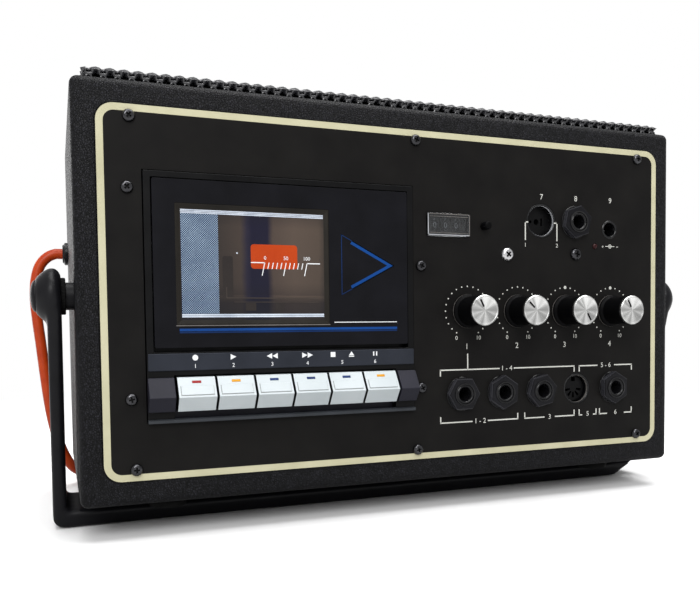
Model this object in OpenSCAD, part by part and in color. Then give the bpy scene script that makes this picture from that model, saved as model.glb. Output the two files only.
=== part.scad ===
// Portable cassette recorder with a folding bail handle.
// The pieces are drawn about the middle of the front panel: X to the right,
// Y to the back from the cabinet's front face, Z up. The module placed() then
// stands the recorder on the floor with its footprint centred on the origin.

/* [Cabinet] */
// Width of the cabinet
case_w = 311; // [304:1:340]
// Height of the cabinet
case_h = 180; // [176:1:200]
// Depth of the cabinet
case_d = 150; // [146:1:190]
// Thickness of the cabinet walls
case_wall = 9; // [6:0.5:10]
// Rounding of the cabinet's four long edges
case_edge_r = 3.5; // [1:0.5:5]
// Thickness of the frames that the front and rear panels screw to
frame_t = 10; // [8:0.5:12]
// How far the frames lap behind the panels' edges
frame_lap = 8; // [6:0.5:8.5]
// Thickness of the rear panel
rear_panel_t = 4; // [3:0.5:6]

/* [Front panel] */
// Width of the front panel
panel_w = 292; // [286:1:298]
// Height of the front panel
panel_h = 159; // [154:1:164]
// Thickness of the front panel
panel_t = 1.5; // [1:0.25:2.5]
// Corner radius of the front panel
panel_corner_r = 7.6; // [4:0.2:10]
// How far the front panel stands proud of the cabinet
panel_proud = 0.5; // [0.25:0.25:0.75]
// Diameter of the screw heads
screw_head_d = 5.4; // [4:0.2:6]
// Diameter of the screw shanks
screw_shank_d = 2.6; // [2:0.2:3]

/* [Speaker and grille] */
// Height of the grille above the cabinet's top
grille_h = 5.2; // [4:0.2:6]
// Distance from the cabinet's edge to the grille
grille_inset = 4.5; // [3:0.5:10]
// Thickness of the grille's strands
grille_t = 1.2; // [0.8:0.2:2]
// Width of the grille's strands
strand_w = 2.2; // [1.6:0.2:4]
// Openings of the grille from side to side
grille_cols = 24; // [12:1:24]
// Openings of the grille from front to back
grille_rows = 11; // [6:1:11]
// Outer diameter of the loudspeaker
speaker_d = 96; // [80:1:100]
// Depth of the loudspeaker
speaker_depth = 46; // [36:1:52]

/* [Handle] */
// Distance of the handle's pivot from the cabinet's front
pivot_back = 20; // [19:0.5:26]
// Gap between the grille's top and the bar of the raised handle
bar_gap = 2.3; // [2.3:0.1:12]
// Thickness of the handle's bar
bar_t = 10.5; // [8:0.5:12]
// Thickness of the handle's arms
arm_t = 6; // [5:0.5:8]
// Width of the handle's strap
strap_w = 23; // [18:0.5:24]
// Lean of the folded arms towards the back, in degrees
fold_angle = 14; // [8:0.5:14]
// Height of the flat on the bar where it rests on the floor
bar_flat = 2.8; // [1.5:0.1:4]
// Diameter of the pivot bolts
pivot_d = 8; // [6:0.5:9]
// Length of the shoulder between the cabinet and the handle's washer
shoulder_l = 3.2; // [2:0.2:6]
// Thickness of the handle's washers
washer_t = 1.5; // [1:0.1:2.5]
// Diameter of the handle's hubs at their widest
hub_d = 24.4; // [22:0.2:28]
// Distance from the arms' inner face to the end of the hub's cap
boss_l = 13.5; // [12:0.5:16]

/* [Tape deck] */
// Distance from the panel's left edge to the deck
deck_in = 18.3; // [17.9:0.1:19.5]
// Width of the deck
deck_w = 126; // [122:0.5:127]
// Height of the deck
deck_h = 107.5; // [106:0.5:112]
// Height of the deck's middle above the panel's middle
deck_z = -1.2; // [-3:0.1:1]
// Width of the deck's frame beside the door
door_margin = 3.75; // [3.5:0.25:5]
// Height of the cassette door
door_h = 72; // [71:0.5:74]
// Thickness of the cassette door
door_t = 2.5; // [2:0.25:3.5]
// Width of the door's window
window_w = 68.7; // [50:0.5:80]
// Height of the door's window
window_h = 51.5; // [40:0.5:54]
// Distance from the door's left edge to its window
window_in = 10.5; // [8:0.5:16]
// Distance from the door's top edge to its window
window_drop = 10; // [8:0.5:12]
// Angle that the door opens, in degrees
door_open = 25; // [15:1:25]
// Width of a cassette
cassette_w = 100.4; // [99:0.1:101]
// Height of a cassette
cassette_h = 63.8; // [63:0.1:64.2]
// Thickness of a cassette
cassette_t = 12; // [9:0.5:12]
// Distance between a cassette's two reels
reel_pitch = 42.5; // [40:0.5:44]

/* [Keys] */
// Distance from one key to the next
key_pitch = 17.25; // [16:0.25:17.5]
// Gap between keys
key_gap = 0.6; // [0.4:0.1:1]
// Height of the keys
key_h = 14.6; // [13:0.2:15]
// How far the keys' ridge stands out of the deck's face
key_out = 7; // [5:0.5:9]
// Distance from the deck's face to the keys' shaft
key_lever = 26; // [24:0.5:30]
// Diameter of the keys' shaft
key_shaft_d = 4; // [3:0.25:5]

/* [Knobs] */
// Distance from the panel's left edge to the first knob
dial_in = 174; // [172:0.5:176]
// Distance from one knob to the next
dial_pitch = 29.1; // [26:0.1:30]
// Height of the knobs above the panel's middle
dial_z = -7.3; // [-12:0.1:-5]
// Diameter of the knobs
knob_d = 15; // [12:0.5:18]
// How far the knobs stand out of the panel
knob_h = 17.45; // [14:0.05:22]
// Thickness of the knobs' metal caps
cap_t = 2; // [1:0.25:3]
// Diameter of the controls' shafts
shaft_d = 6; // [5:0.5:7]

/* [Sockets] */
// Distance from the panel's left edge to the first socket of the row
socket_in = 170.6; // [169:0.2:172]
// Distance from one socket to the next
socket_pitch = 23; // [21:0.25:23.5]
// Height of the row of sockets above the panel's middle
socket_z = -48.3; // [-52:0.1:-44]
// Diameter of the jack sockets' bore
jack_bore_d = 6.5; // [6.4:0.1:6.8]
// Outer diameter of the jack sockets' bushes
jack_bush_d = 9.4; // [9:0.1:10]
// Width of the jack sockets' nuts across their flats
jack_nut_af = 15; // [13:0.5:16]
// Diameter of the round sockets' shells
round_socket_d = 16.4; // [15:0.2:17.5]
// Height of the upper sockets above the panel's middle
upper_z = 39; // [37:0.5:42]
// Distance from the panel's left edge to the headphone socket
phones_in = 238.3; // [237:0.1:240]
// Diameter of the direct current socket
dc_d = 9.8; // [8:0.2:11]

/* [Tape counter] */
// Distance from the panel's left edge to the counter
counter_in = 163.4; // [162.5:0.1:165]
// Height of the counter above the panel's middle
counter_z = 34.9; // [32:0.1:37]
// Width of the counter's window
counter_w = 23.3; // [22:0.1:25]
// Height of the counter's window
counter_h = 11.2; // [10:0.2:13]
// Diameter of the counter's reset button
reset_d = 4; // [3:0.25:5]

/* [Mains lead] */
// Diameter of the mains lead
lead_d = 5.8; // [5:0.1:6.2]
// Mean diameter of the coil of spare lead
coil_d = 72; // [68:1:78]
// Turns of the coil on its lower layer
coil_turns_in = 3.5; // [2.5:0.5:3.5]

/* [Hidden] */
$fn = 48;
fit = 0.3;
run = 0.05;
eps = 1;

// Distance from the pivot to the inner face of the handle's bar.
handle_reach = case_h / 2 + grille_h + bar_gap;

// Standing height: the bar's flat and the rear feet touch the floor together.
flat_reach = handle_reach + bar_t - bar_flat;
floor_z = -(flat_reach * cos(fold_angle) + strap_w / 2 * sin(fold_angle));
stand_h = -floor_z - case_h / 2;

// Face and back of the front panel.
face_y = -panel_proud;
panel_back = panel_t - panel_proud;
knob_front = face_y - knob_h;

// The footprint reaches from the knobs' caps to the cabinet's back.
front_y = -(knob_front + case_d) / 2;

// Handle, from the cabinet's side outwards.
side_x = case_w / 2;
washer_x = side_x + shoulder_l;
arm_x = washer_x + washer_t + fit;
hub_wide_x = arm_x + 3.1;
cap_x = arm_x + boss_l - 2.4;
cap_r = 6.6;
boss_end = arm_x + boss_l;

// Deck.
left_x = -panel_w / 2;
deck_x = left_x + deck_in + deck_w / 2;
deck_top = deck_z + deck_h / 2;
deck_bottom = deck_z - deck_h / 2;
deck_face = face_y - 1;
bezel_back = 4;
door_w = deck_w - 2 * door_margin;
door_top = deck_top - 3.4;
door_bottom = door_top - door_h;
door_face = deck_face - 0.5;
door_back = door_face + door_t;
window_x = deck_x - door_w / 2 + window_in + window_w / 2;
window_z = door_top - window_drop - window_h / 2;
hinge_y = door_back + 0.7;
hinge_z = door_bottom + 1.7;
hinge_pin_r = 1.2;
door_gap = 0.4;
door_swing_gap = 1.8;
strip_top = door_bottom - door_swing_gap;

// Cassette and its holder.
holder_t = 1.5;
holder_in = cassette_w + 1.2;
pocket_y = door_back + cassette_t + 0.6;
post_x = max(deck_w / 2 - 4, holder_in / 2 + holder_t + 3.6);
rib_top = hinge_z + 1.8;
tape_bottom = rib_top + holder_t;
hub_z = tape_bottom + 34.4;
capstan_x = deck_x + 24.6;
capstan_z = tape_bottom + 9.5;

// Mechanism behind the cassette.
chassis_y = pocket_y + holder_t + 4.4;
chassis_t = 1.5;
chassis_back = chassis_y + chassis_t;
pulley_y = chassis_back + 2.5;
pulley_t = 6;
flywheel_r = 21;
pulley_r = 4.5;
motor_x = deck_x - 36;
motor_z = capstan_z + 6;
motor_r = 15;
motor_y = pulley_y + pulley_t + 3;
motor_l = 26;
capstan_r = 1.2;
spindle_r = 1.25;

// Keys.
KEY_NAMES = ["record", "play", "rewind", "forward", "stop", "pause"];
key_top = strip_top - 10.9;
key_mid = key_top - key_h / 2;
key_x0 = deck_x + 0.8 - 2.5 * key_pitch;
key_axis_y = deck_face + key_lever;
key_drop = 3.6;

// Controls and sockets of the right half of the panel.
dial_x = left_x + dial_in;
socket_x = left_x + socket_in;
counter_x = left_x + counter_in;
reset_x = counter_x + counter_w / 2 + 8.5;
speaker_socket_x = left_x + phones_in - 20.9;
phones_x = left_x + phones_in;
dc_x = phones_x + 22.3;
lamp_x = phones_x + 12.9;
lamp_z = upper_z - 12.1;
row_screw_z = upper_z - 16.8;
jack_len = 27;
nut_t = 3;
bush_out = 5;

// Screws on the panel: its edge, the deck's flange and two inner ones.
panel_screw_x = panel_w / 2 - 13.5;
panel_screw_z = panel_h / 2 - 5.1;
deck_screw_l = deck_x - deck_w / 2 - 6.2;
deck_screw_r = deck_x + deck_w / 2 + 4.1;
flange_l = deck_screw_l - 3.4;
flange_r = deck_screw_r + 2.4;
EDGE_SCREWS = [for (sx = [-1, 0, 1], sz = [-1, 1]) [sx * panel_screw_x, sz * panel_screw_z]];
DECK_SCREWS = [
    [deck_screw_l, deck_z + 46],
    [deck_screw_l, deck_z - 43.2],
    [deck_screw_r, deck_z + 15.8],
    [deck_screw_r, deck_z - 43.2]
];
ROW_SCREWS = [[phones_x - 42.3, row_screw_z], [phones_x - 0.5, row_screw_z]];

// Rear panel.
rear_w = panel_w;
rear_h = panel_h;
rear_y = case_d - rear_panel_t - 2;
REAR_SCREWS = [for (sx = [-1, 0, 1], sz = [-1, 1]) [sx * (rear_w / 2 - 6), sz * (rear_h / 2 - 4)]];

// Inside of the cabinet.
in_top = case_h / 2 - case_wall;
in_bottom = -in_top;
in_back = case_d - frame_t - rear_panel_t - 2;
speaker_x = 62;
speaker_y = in_back - 4 - speaker_d / 2;
cone_rim = 11;
board_w = 130;
board_lift = 8;
sink_w = 60;
sink_h = 28.4;
can_h = 22;
transformer_back = 30;

// Mains lead: its outlet, its free route to the floor, and its coil.
lead_r = lead_d / 2;
gland_y = 130;
gland_z = 29;
gland_out = 3;
tie_t = 1;
tie_gap = 0.4;
floor_lead = tie_t + tie_gap + lead_r;
coil_step = lead_d + 0.8;
coil_layer = lead_d + 0.8;
coil_x = -72;
coil_y = case_d + 58;
coil_r_out = coil_d / 2 + coil_step * coil_turns_in / 2;
coil_turns = 2 * coil_turns_in + 0.25;
coil_turns_back = coil_turns_in + 0.25;
coil_tail = 38;
coil_start = [coil_x - coil_r_out, coil_y - lead_d, floor_z + floor_lead];
plug_l = 48;
plug_w = 46;
plug_t = 21;

// Points of the route from the gland to the coil; the first ones are beside the
// gland, the next above the floor, and the last lead straight into the coil.
ROUTE_ABOVE_FLOOR = [
    [-168, 130, 131.8], [-173.5, 130, 127], [-177, 130, 119], [-178, 130, 109], [-177, 130, 97],
    [-175.5, 130, 84], [-174, 130, 70], [-172.5, 130, 56], [-170.5, 131, 43], [-167.5, 133, 31],
    [-163.5, 136.5, 20.5], [-158, 142, 11.5], [-151.5, 148.5, 6.5], [-143.5, 156, 4.5]
];
LEAD_ROUTE = concat(
    [for (d = [0, 3.5]) [-side_x - gland_out - d, gland_y, gland_z]],
    [for (p = ROUTE_ABOVE_FLOOR) [p[0], p[1], p[2] + floor_z]],
    [for (a = [45, 22.5, 0]) coil_start - [40 * (1 - cos(a)), 6 + 40 * sin(a), 0]],
    [coil_start]
);

// Shared shapes

module placed() {
    translate([0, front_y, -floor_z]) children();
}

module rounded_rect(w, h, r) {
    square([w - 2 * r, h], center = true);
    square([w, h - 2 * r], center = true);
    for (sx = [-1, 1], sz = [-1, 1])
        translate([sx * (w / 2 - r), sz * (h / 2 - r)]) circle(r);
}

// An outline in X and Z, made solid from y0 to y1.
module plate(y0, y1) {
    translate([0, y1, 0]) rotate([90, 0, 0]) linear_extrude(y1 - y0) children();
}

// A cylinder along Y, from y0 to y1.
module y_rod(x, z, r, y0, y1) {
    translate([x, y0, z]) rotate([-90, 0, 0]) cylinder(r = r, h = y1 - y0);
}

// A cylinder along X, from x0 to x1.
module x_rod(x0, x1, y, z, r) {
    translate([x0, y, z]) rotate([0, 90, 0]) cylinder(r = r, h = x1 - x0);
}

// A box between two corners.
module block(a, b) {
    translate(a) cube(b - a);
}

// An outline in Y and Z, made solid along X from x0 to x1.
module x_section(x0, x1) {
    translate([x0, 0, 0]) rotate([90, 0, 90]) linear_extrude(x1 - x0) children();
}

// Cabinet and panels

module cabinet() {
    color([0.17, 0.17, 0.18]) placed() difference() {
        plate(0, case_d) rounded_rect(case_w, case_h, case_edge_r);
        plate(-eps, panel_back)
            rounded_rect(panel_w + 2 * fit, panel_h + 2 * fit, panel_corner_r + fit);
        plate(panel_back - eps, frame_t + eps)
            square([panel_w - 2 * frame_lap, panel_h - 2 * frame_lap], center = true);
        block(
            [-case_w / 2 + case_wall, frame_t, in_bottom],
            [case_w / 2 - case_wall, in_back, in_top]
        );
        plate(in_back - eps, case_d)
            square([rear_w - 2 * frame_lap, rear_h - 2 * frame_lap], center = true);
        plate(rear_y, case_d + eps) square([rear_w + 2 * fit, rear_h + 2 * fit], center = true);
        translate([speaker_x, speaker_y, in_top - eps])
            cylinder(d = speaker_d - 10, h = case_wall + 2 * eps);
        for (s = [-1, 1])
            x_rod(s * case_w / 2 - case_wall - eps, s * case_w / 2 + case_wall + eps,
                pivot_back, 0, pivot_d / 2 + run);
        x_rod(-case_w / 2 - eps, -case_w / 2 + case_wall + eps, gland_y, gland_z, lead_r + 2 + run);
        for (p = EDGE_SCREWS)
            y_rod(p[0], p[1], screw_shank_d / 2 + run, panel_back - eps, frame_t - 2);
        for (p = REAR_SCREWS)
            y_rod(p[0], p[1], screw_shank_d / 2 + run, in_back + 2, rear_y + eps);
    }
}

module rear_panel() {
    color([0.1, 0.1, 0.1]) placed() difference() {
        plate(rear_y, rear_y + rear_panel_t) square([rear_w, rear_h], center = true);
        for (p = REAR_SCREWS)
            y_rod(p[0], p[1], screw_shank_d / 2 + run, rear_y - eps, case_d);
        for (i = [0:7])
            translate([70, 0, -28 + 8 * i])
                plate(rear_y - eps, case_d) rounded_rect(70, 4.4, 2.1);
    }
}

module front_panel() {
    color([0.11, 0.11, 0.11]) placed() difference() {
        plate(face_y, panel_back) rounded_rect(panel_w, panel_h, panel_corner_r);
        translate([deck_x, 0, deck_z])
            plate(face_y - eps, panel_back + eps) square([deck_w + fit, deck_h + fit], center = true);
        translate([counter_x, 0, counter_z])
            plate(face_y - eps, panel_back + eps) square([counter_w + fit, counter_h + fit], center = true);
        panel_hole(reset_x, counter_z, reset_d / 2 + run);
        for (i = [0:3]) panel_hole(dial_x + i * dial_pitch, dial_z, shaft_d / 2 + 1);
        for (p = jack_places()) panel_hole(p[0], p[1], jack_bush_d / 2 + run);
        panel_hole(socket_x + 3 * socket_pitch, socket_z, round_socket_d / 2 + run);
        panel_hole(speaker_socket_x, upper_z, round_socket_d / 2 + 0.6 + run);
        panel_hole(dc_x, upper_z - 3, dc_d / 2 + run);
        panel_hole(lamp_x, lamp_z, 1.5 + run);
        for (p = concat(EDGE_SCREWS, DECK_SCREWS, ROW_SCREWS))
            panel_hole(p[0], p[1], screw_shank_d / 2 + run);
    }
}

module panel_hole(x, z, r) {
    y_rod(x, z, r, face_y - eps, panel_back + eps);
}

// A pan head screw whose head sits on the face y, with a cross recess.
module pan_screw(x, z, y, dir, len) {
    r = screw_head_d / 2;
    translate([x, y, z]) rotate([dir * -90, 0, 0]) difference() {
        union() {
            translate([0, 0, -len]) cylinder(d = screw_shank_d, h = len);
            rotate_extrude() polygon([[0, 0], [r, 0], [r, 0.9], [r * 0.72, 1.7], [0, 2]]);
        }
        for (a = [0, 90])
            rotate(a) translate([-r * 0.55, -0.35, 1]) cube([r * 1.1, 0.7, 2]);
    }
}

module case_screws() {
    color([0.2, 0.2, 0.21]) placed() {
        for (p = EDGE_SCREWS) pan_screw(p[0], p[1], face_y, -1, panel_t + 5);
        for (p = DECK_SCREWS) pan_screw(p[0], p[1], face_y, -1, panel_t + 2.5);
        for (p = ROW_SCREWS) pan_screw(p[0], p[1], face_y, -1, panel_t + 4);
        for (p = REAR_SCREWS) pan_screw(p[0], p[1], rear_y + rear_panel_t, 1, rear_panel_t + 4);
    }
}

// Grille and loudspeaker

module speaker_grille() {
    w = case_w - 2 * grille_inset;
    d = case_d - 2 * grille_inset;
    px = (w - 2 * strand_w) / grille_cols;
    py = (d - 2 * strand_w) / grille_rows;
    ox = px - strand_w;
    oy = py - strand_w;
    color([0.08, 0.08, 0.08]) placed() translate([0, case_d / 2, case_h / 2]) {
        translate([0, 0, grille_h - grille_t]) linear_extrude(grille_t) difference() {
            square([w, d], center = true);
            for (i = [0:grille_cols - 1], j = [0:grille_rows - 1])
                translate([(i + 0.5 - grille_cols / 2) * px, (j + 0.5 - grille_rows / 2) * py])
                    polygon([[-ox / 2, 0], [0, -oy / 2], [ox / 2, 0], [0, oy / 2]]);
        }
        linear_extrude(grille_h - grille_t) difference() {
            square([w, d], center = true);
            square([w - 2 * grille_t, d - 2 * grille_t], center = true);
        }
    }
}

module speaker_driver() {
    r = speaker_d / 2;
    magnet_r = r * 0.55;
    color([0.35, 0.35, 0.37]) placed() translate([speaker_x, speaker_y, in_top]) {
        rotate_extrude() polygon([
            [r - 7, 0], [r, 0], [r, -2.5], [r - 5, -2.5], [r - 8, -12], [magnet_r, -speaker_depth + 14],
            [magnet_r, -speaker_depth], [0, -speaker_depth], [0, -speaker_depth + 14],
            [magnet_r - 3, -speaker_depth + 15], [r - 10, -11], [r - 7, -2.5]
        ]);
    }
}

module speaker_cone() {
    r = speaker_d / 2;
    cone_r = r - cone_rim;
    color([0.12, 0.12, 0.13]) placed() translate([speaker_x, speaker_y, in_top])
        rotate_extrude() polygon([
            [r - 7.3, -0.5], [r - 7.3, -2], [cone_r, -3.5], [12, -speaker_depth + 20],
            [0, -speaker_depth + 20], [0, -speaker_depth + 24], [12, -speaker_depth + 22],
            [cone_r + 1, -2], [r - 9, -0.5]
        ]);
}

// Electronics

module amplifier_board() {
    z = in_bottom + board_lift;
    x0 = 4;
    x1 = x0 + board_w;
    y0 = frame_t + 34;
    y1 = in_back - 10;
    can_pitch = (y1 - y0) / 4;
    color([0.1, 0.35, 0.2]) placed() {
        block([x0, y0, z], [x1, y1, z + 1.6]);
        for (x = [x0 + 6, x1 - 6], y = [y0 + 6, y1 - 6])
            translate([x, y, in_bottom]) cylinder(r = 3, h = board_lift);
        block([x0 + 12, y1 - 16, z + 1.6], [x0 + 12 + sink_w, y1 - 10, z + 1.6 + sink_h]);
        for (i = [0:2])
            translate([x1 - 26, y0 + 14 + can_pitch * i, z + 1.6]) cylinder(r = 7, h = can_h);
    }
}

module mains_transformer() {
    x = -104;
    y = in_back - transformer_back;
    color([0.4, 0.38, 0.33]) placed() difference() {
        union() {
            block([x - 28, y - 12, in_bottom], [x + 28, y + 12, in_bottom + 46]);
            block([x - 17, y - 21, in_bottom + 9], [x + 17, y + 21, in_bottom + 37]);
            block([x - 36, y - 12, in_bottom], [x + 36, y + 12, in_bottom + 2]);
        }
        for (s = [-1, 1])
            translate([x + s * 32, y, in_bottom - eps]) cylinder(d = 4, h = 4);
    }
}

module control_pots() {
    color([0.45, 0.46, 0.48]) placed()
        for (i = [0:3]) translate([dial_x + i * dial_pitch, 0, dial_z]) difference() {
            union() {
                plate(panel_back, panel_back + 9) rounded_rect(16, 18, 2);
                y_rod(0, 0, shaft_d / 2 + 1 - run, face_y - 4, panel_back + 1);
            }
            y_rod(0, 0, shaft_d / 2 + run, face_y - 6, panel_back + 6);
        }
}

function jack_places() = concat(
    [for (i = [0, 1, 2, 4]) [socket_x + i * socket_pitch, socket_z]],
    [[phones_x, upper_z]]
);

module jack_sockets() {
    color([0.09, 0.09, 0.09]) placed()
        for (p = jack_places()) translate([p[0], 0, p[1]]) difference() {
            union() {
                y_rod(0, 0, jack_bush_d / 2, face_y - bush_out, panel_back + 1);
                plate(panel_back, panel_back + jack_len) rounded_rect(16, 16, 2);
            }
            y_rod(0, 0, jack_bore_d / 2, face_y - bush_out - eps, panel_back + jack_len - 2);
        }
}

module jack_nuts() {
    nut_r = jack_nut_af / 2 / cos(30);
    color([0.1, 0.1, 0.1]) placed()
        for (p = jack_places()) translate([p[0], face_y, p[1]]) rotate([90, 0, 0]) difference() {
            intersection() {
                rotate(15) cylinder(r = nut_r, h = nut_t, $fn = 6);
                cylinder(r1 = nut_r + 1.5, r2 = nut_r - 0.9, h = nut_t);
            }
            translate([0, 0, -eps]) cylinder(d = jack_bush_d + 2 * run, h = nut_t + 2 * eps);
        }
}

// A round socket: a shell in the panel, and a sunk insert behind its mouth.
module round_shell(r, depth) {
    difference() {
        y_rod(0, 0, r, face_y, face_y + depth + 4);
        y_rod(0, 0, r - 1, face_y - eps, face_y + depth);
    }
}

module speaker_socket() {
    r = round_socket_d / 2 + 0.6;
    color([0.1, 0.1, 0.1]) placed() translate([speaker_socket_x, 0, upper_z]) difference() {
        union() {
            round_shell(r, 4.5);
            plate(panel_back, panel_back + 9) rounded_rect(2 * r + 4, 2 * r + 4, 3);
        }
        y_rod(0, 0, r - 1, face_y - eps, face_y + 4.5);
        translate([-2, 0, 0]) plate(face_y, panel_back + 8) square([1.2, 4], center = true);
        y_rod(2.4, 0, 1.2, face_y, panel_back + 8);
    }
}

module din_socket() {
    r = round_socket_d / 2;
    color([0.12, 0.12, 0.13]) placed() translate([socket_x + 3 * socket_pitch, 0, socket_z]) difference() {
        union() {
            round_shell(r, 4.5);
            plate(panel_back, panel_back + 12) rounded_rect(2 * r + 2, 2 * r + 2, 3);
        }
        y_rod(0, 0, r - 1, face_y - eps, face_y + 4.5);
        for (a = [-180, -135, -90, -45, 0])
            y_rod(3.8 * cos(a), 3.8 * sin(a), 0.8, face_y, panel_back + 10);
    }
}

module dc_socket() {
    r = dc_d / 2;
    color([0.08, 0.08, 0.08]) placed() translate([dc_x, 0, upper_z - 3]) {
        difference() {
            union() {
                y_rod(0, 0, r, face_y - 0.4, panel_back + 1);
                plate(panel_back, panel_back + 13) rounded_rect(2 * r + 2, 2 * r + 2, 2);
            }
            y_rod(0, 0, r - 1.2, face_y - eps, panel_back + 11);
        }
        y_rod(0, 0, 1, face_y + 4.8, panel_back + 11.5);
    }
}

module power_lamp() {
    color([0.75, 0.1, 0.08]) placed() translate([lamp_x, 0, lamp_z]) {
        y_rod(0, 0, 1.5, face_y - 0.8, panel_back + 4);
        y_rod(0, 0, 2.2, panel_back, panel_back + 1.2);
    }
}

// Tape counter

counter_axle_r = 1;
counter_axle_y = 9;
wheel_r = 6;
wheel_w = 5.2;
wheel_pitch = 5.9;

module counter_body() {
    half = counter_w / 2 + fit;
    color([0.13, 0.13, 0.13]) placed() translate([counter_x, 0, counter_z]) {
        difference() {
            block([-half, panel_back, -8], [half, panel_back + 16.5, 8]);
            block(
                [-1.5 * wheel_pitch - 0.6, panel_back - eps, -7],
                [1.5 * wheel_pitch + 0.6, panel_back + 15, 7]
            );
        }
        x_rod(-1.5 * wheel_pitch - 1, 1.5 * wheel_pitch + 1, counter_axle_y, 0, counter_axle_r);
    }
}

// The wheel at place n counts from the left.
module counter_wheel(n) {
    x = counter_x + (n - 1) * wheel_pitch;
    color([0.16, 0.16, 0.16]) placed() difference() {
        x_rod(x - wheel_w / 2, x + wheel_w / 2, counter_axle_y, counter_z, wheel_r);
        x_rod(x - wheel_w, x + wheel_w, counter_axle_y, counter_z, counter_axle_r + run);
    }
}

module counter_window() {
    color([0.7, 0.75, 0.8, 0.4]) placed() translate([counter_x, 0, counter_z])
        plate(face_y - 1.2, panel_back) rounded_rect(counter_w, counter_h, 0.8);
}

module reset_button() {
    color([0.08, 0.08, 0.08]) placed() translate([reset_x, 0, counter_z]) {
        y_rod(0, 0, reset_d / 2, face_y - 5, panel_back + 6);
        y_rod(0, 0, reset_d / 2 + 1, panel_back + fit, panel_back + 1.5);
    }
}

// Tape deck

// Outline of the keys and of the fixed flanks beside them, in Y and Z.
module key_outline(back) {
    polygon([
        [back, key_mid + key_h / 2],
        [deck_face - 1.5, key_mid + key_h / 2],
        [deck_face - key_out, key_mid - key_h * 0.07],
        [deck_face - 2.5, key_mid - key_h / 2],
        [back, key_mid - key_h / 2]
    ]);
}

module deck_bezel() {
    deck_l = deck_x - deck_w / 2;
    deck_r = deck_x + deck_w / 2;
    key_l = key_x0 - key_pitch / 2 - 0.4;
    key_r = key_x0 + 5.5 * key_pitch + 0.4;
    color([0.1, 0.1, 0.11]) placed() difference() {
        union() {
            block([deck_l + fit, deck_face, deck_bottom + fit], [deck_r - fit, bezel_back, deck_top - fit]);
            block([flange_l, panel_back, deck_bottom - 4], [flange_r, bezel_back, deck_top + 4]);
            x_section(deck_l + fit, key_l) key_outline(0);
            x_section(key_r, deck_r - fit) key_outline(0);
            for (s = [-1, 1], z = [hub_z + 26, hub_z - 30])
                y_rod(deck_x + s * post_x, z, 3, bezel_back - eps, chassis_y);
            for (s = [-1, 1])
                key_bracket(deck_x + 0.8 + s * (3 * key_pitch + 3));
        }
        block(
            [deck_x - door_w / 2 - door_gap, deck_face - eps, strip_top],
            [deck_x + door_w / 2 + door_gap, bezel_back + eps, door_top + door_gap]
        );
        block(
            [key_l, deck_face - key_out - eps, key_mid - key_h / 2 - key_drop],
            [key_r, bezel_back + eps, key_top + 0.8]
        );
        x_rod(deck_x - deck_w / 2 + 1, deck_x + deck_w / 2 - 1, hinge_y, hinge_z, hinge_pin_r + run);
        for (p = DECK_SCREWS)
            y_rod(p[0], p[1], screw_shank_d / 2 + run, panel_back - eps, bezel_back + eps);
    }
}

// An ear behind the bezel that carries one end of the keys' shaft.
module key_bracket(x) {
    difference() {
        block([x - 1.5, bezel_back - eps, key_mid - 5], [x + 1.5, key_axis_y + 5, key_mid + 5]);
        x_rod(x - 2, x + 2, key_axis_y, key_mid, key_shaft_d / 2 + run);
    }
}

module deck_chassis() {
    color([0.62, 0.63, 0.65]) placed() difference() {
        union() {
            block(
                [deck_x - deck_w / 2 + 1, chassis_y, tape_bottom - 14],
                [deck_x + deck_w / 2 - 1, chassis_back, hub_z + 31]
            );
            for (s = [-1, 1])
                y_rod(deck_x + s * reel_pitch / 2, hub_z, spindle_r, chassis_y - 11, chassis_y + eps);
            for (s = [-1, 1])
                y_rod(motor_x, motor_z + s * 11, 2.5, chassis_y + eps / 2, motor_y);
            y_rod(capstan_x, capstan_z, 4, chassis_y - 2, chassis_back);
        }
        y_rod(capstan_x, capstan_z, capstan_r + run, chassis_y - 3, chassis_back + eps);
    }
}

module drive_motor() {
    color([0.5, 0.5, 0.52]) placed() difference() {
        union() {
            y_rod(motor_x, motor_z, motor_r, motor_y, motor_y + motor_l);
            y_rod(motor_x, motor_z, 4, motor_y + motor_l - 1, motor_y + motor_l + 2);
        }
        y_rod(motor_x, motor_z, 1 + run, motor_y - eps, motor_y + 20);
    }
}

module motor_pulley() {
    color("goldenrod") placed() {
        y_rod(motor_x, motor_z, pulley_r, pulley_y, pulley_y + pulley_t);
        y_rod(motor_x, motor_z, 1, pulley_y, motor_y + 18);
    }
}

module flywheel() {
    color([0.66, 0.63, 0.5]) placed() {
        y_rod(capstan_x, capstan_z, flywheel_r, pulley_y, pulley_y + pulley_t);
        y_rod(capstan_x, capstan_z, capstan_r, door_back + 7, pulley_y + pulley_t);
    }
}

// Outline of an open belt round the two pulleys, grown by g.
module belt_outline(g) {
    hull() {
        translate([motor_x, motor_z]) circle(pulley_r + g);
        translate([capstan_x, capstan_z]) circle(flywheel_r + g);
    }
}

module drive_belt() {
    color([0.07, 0.07, 0.07]) placed() plate(pulley_y + 1.5, pulley_y + 4.5) difference() {
        belt_outline(fit + 1.2);
        belt_outline(fit);
    }
}

module reel_hub(x) {
    top = chassis_y - 12;
    color([0.12, 0.12, 0.12]) placed() translate([x, 0, hub_z]) difference() {
        union() {
            y_rod(0, 0, 9, chassis_y - 3.5, chassis_y - fit);
            y_rod(0, 0, 3, top, chassis_y - 3);
            for (a = [0, 60, 120])
                rotate([0, a, 0]) block([-4.2, top + 2, -0.5], [4.2, chassis_y - 3, 0.5]);
        }
        y_rod(0, 0, spindle_r + run, chassis_y - 11.5, chassis_y + eps);
    }
}

module supply_hub() {
    reel_hub(deck_x - reel_pitch / 2);
}

module takeup_hub() {
    reel_hub(deck_x + reel_pitch / 2);
}

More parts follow.
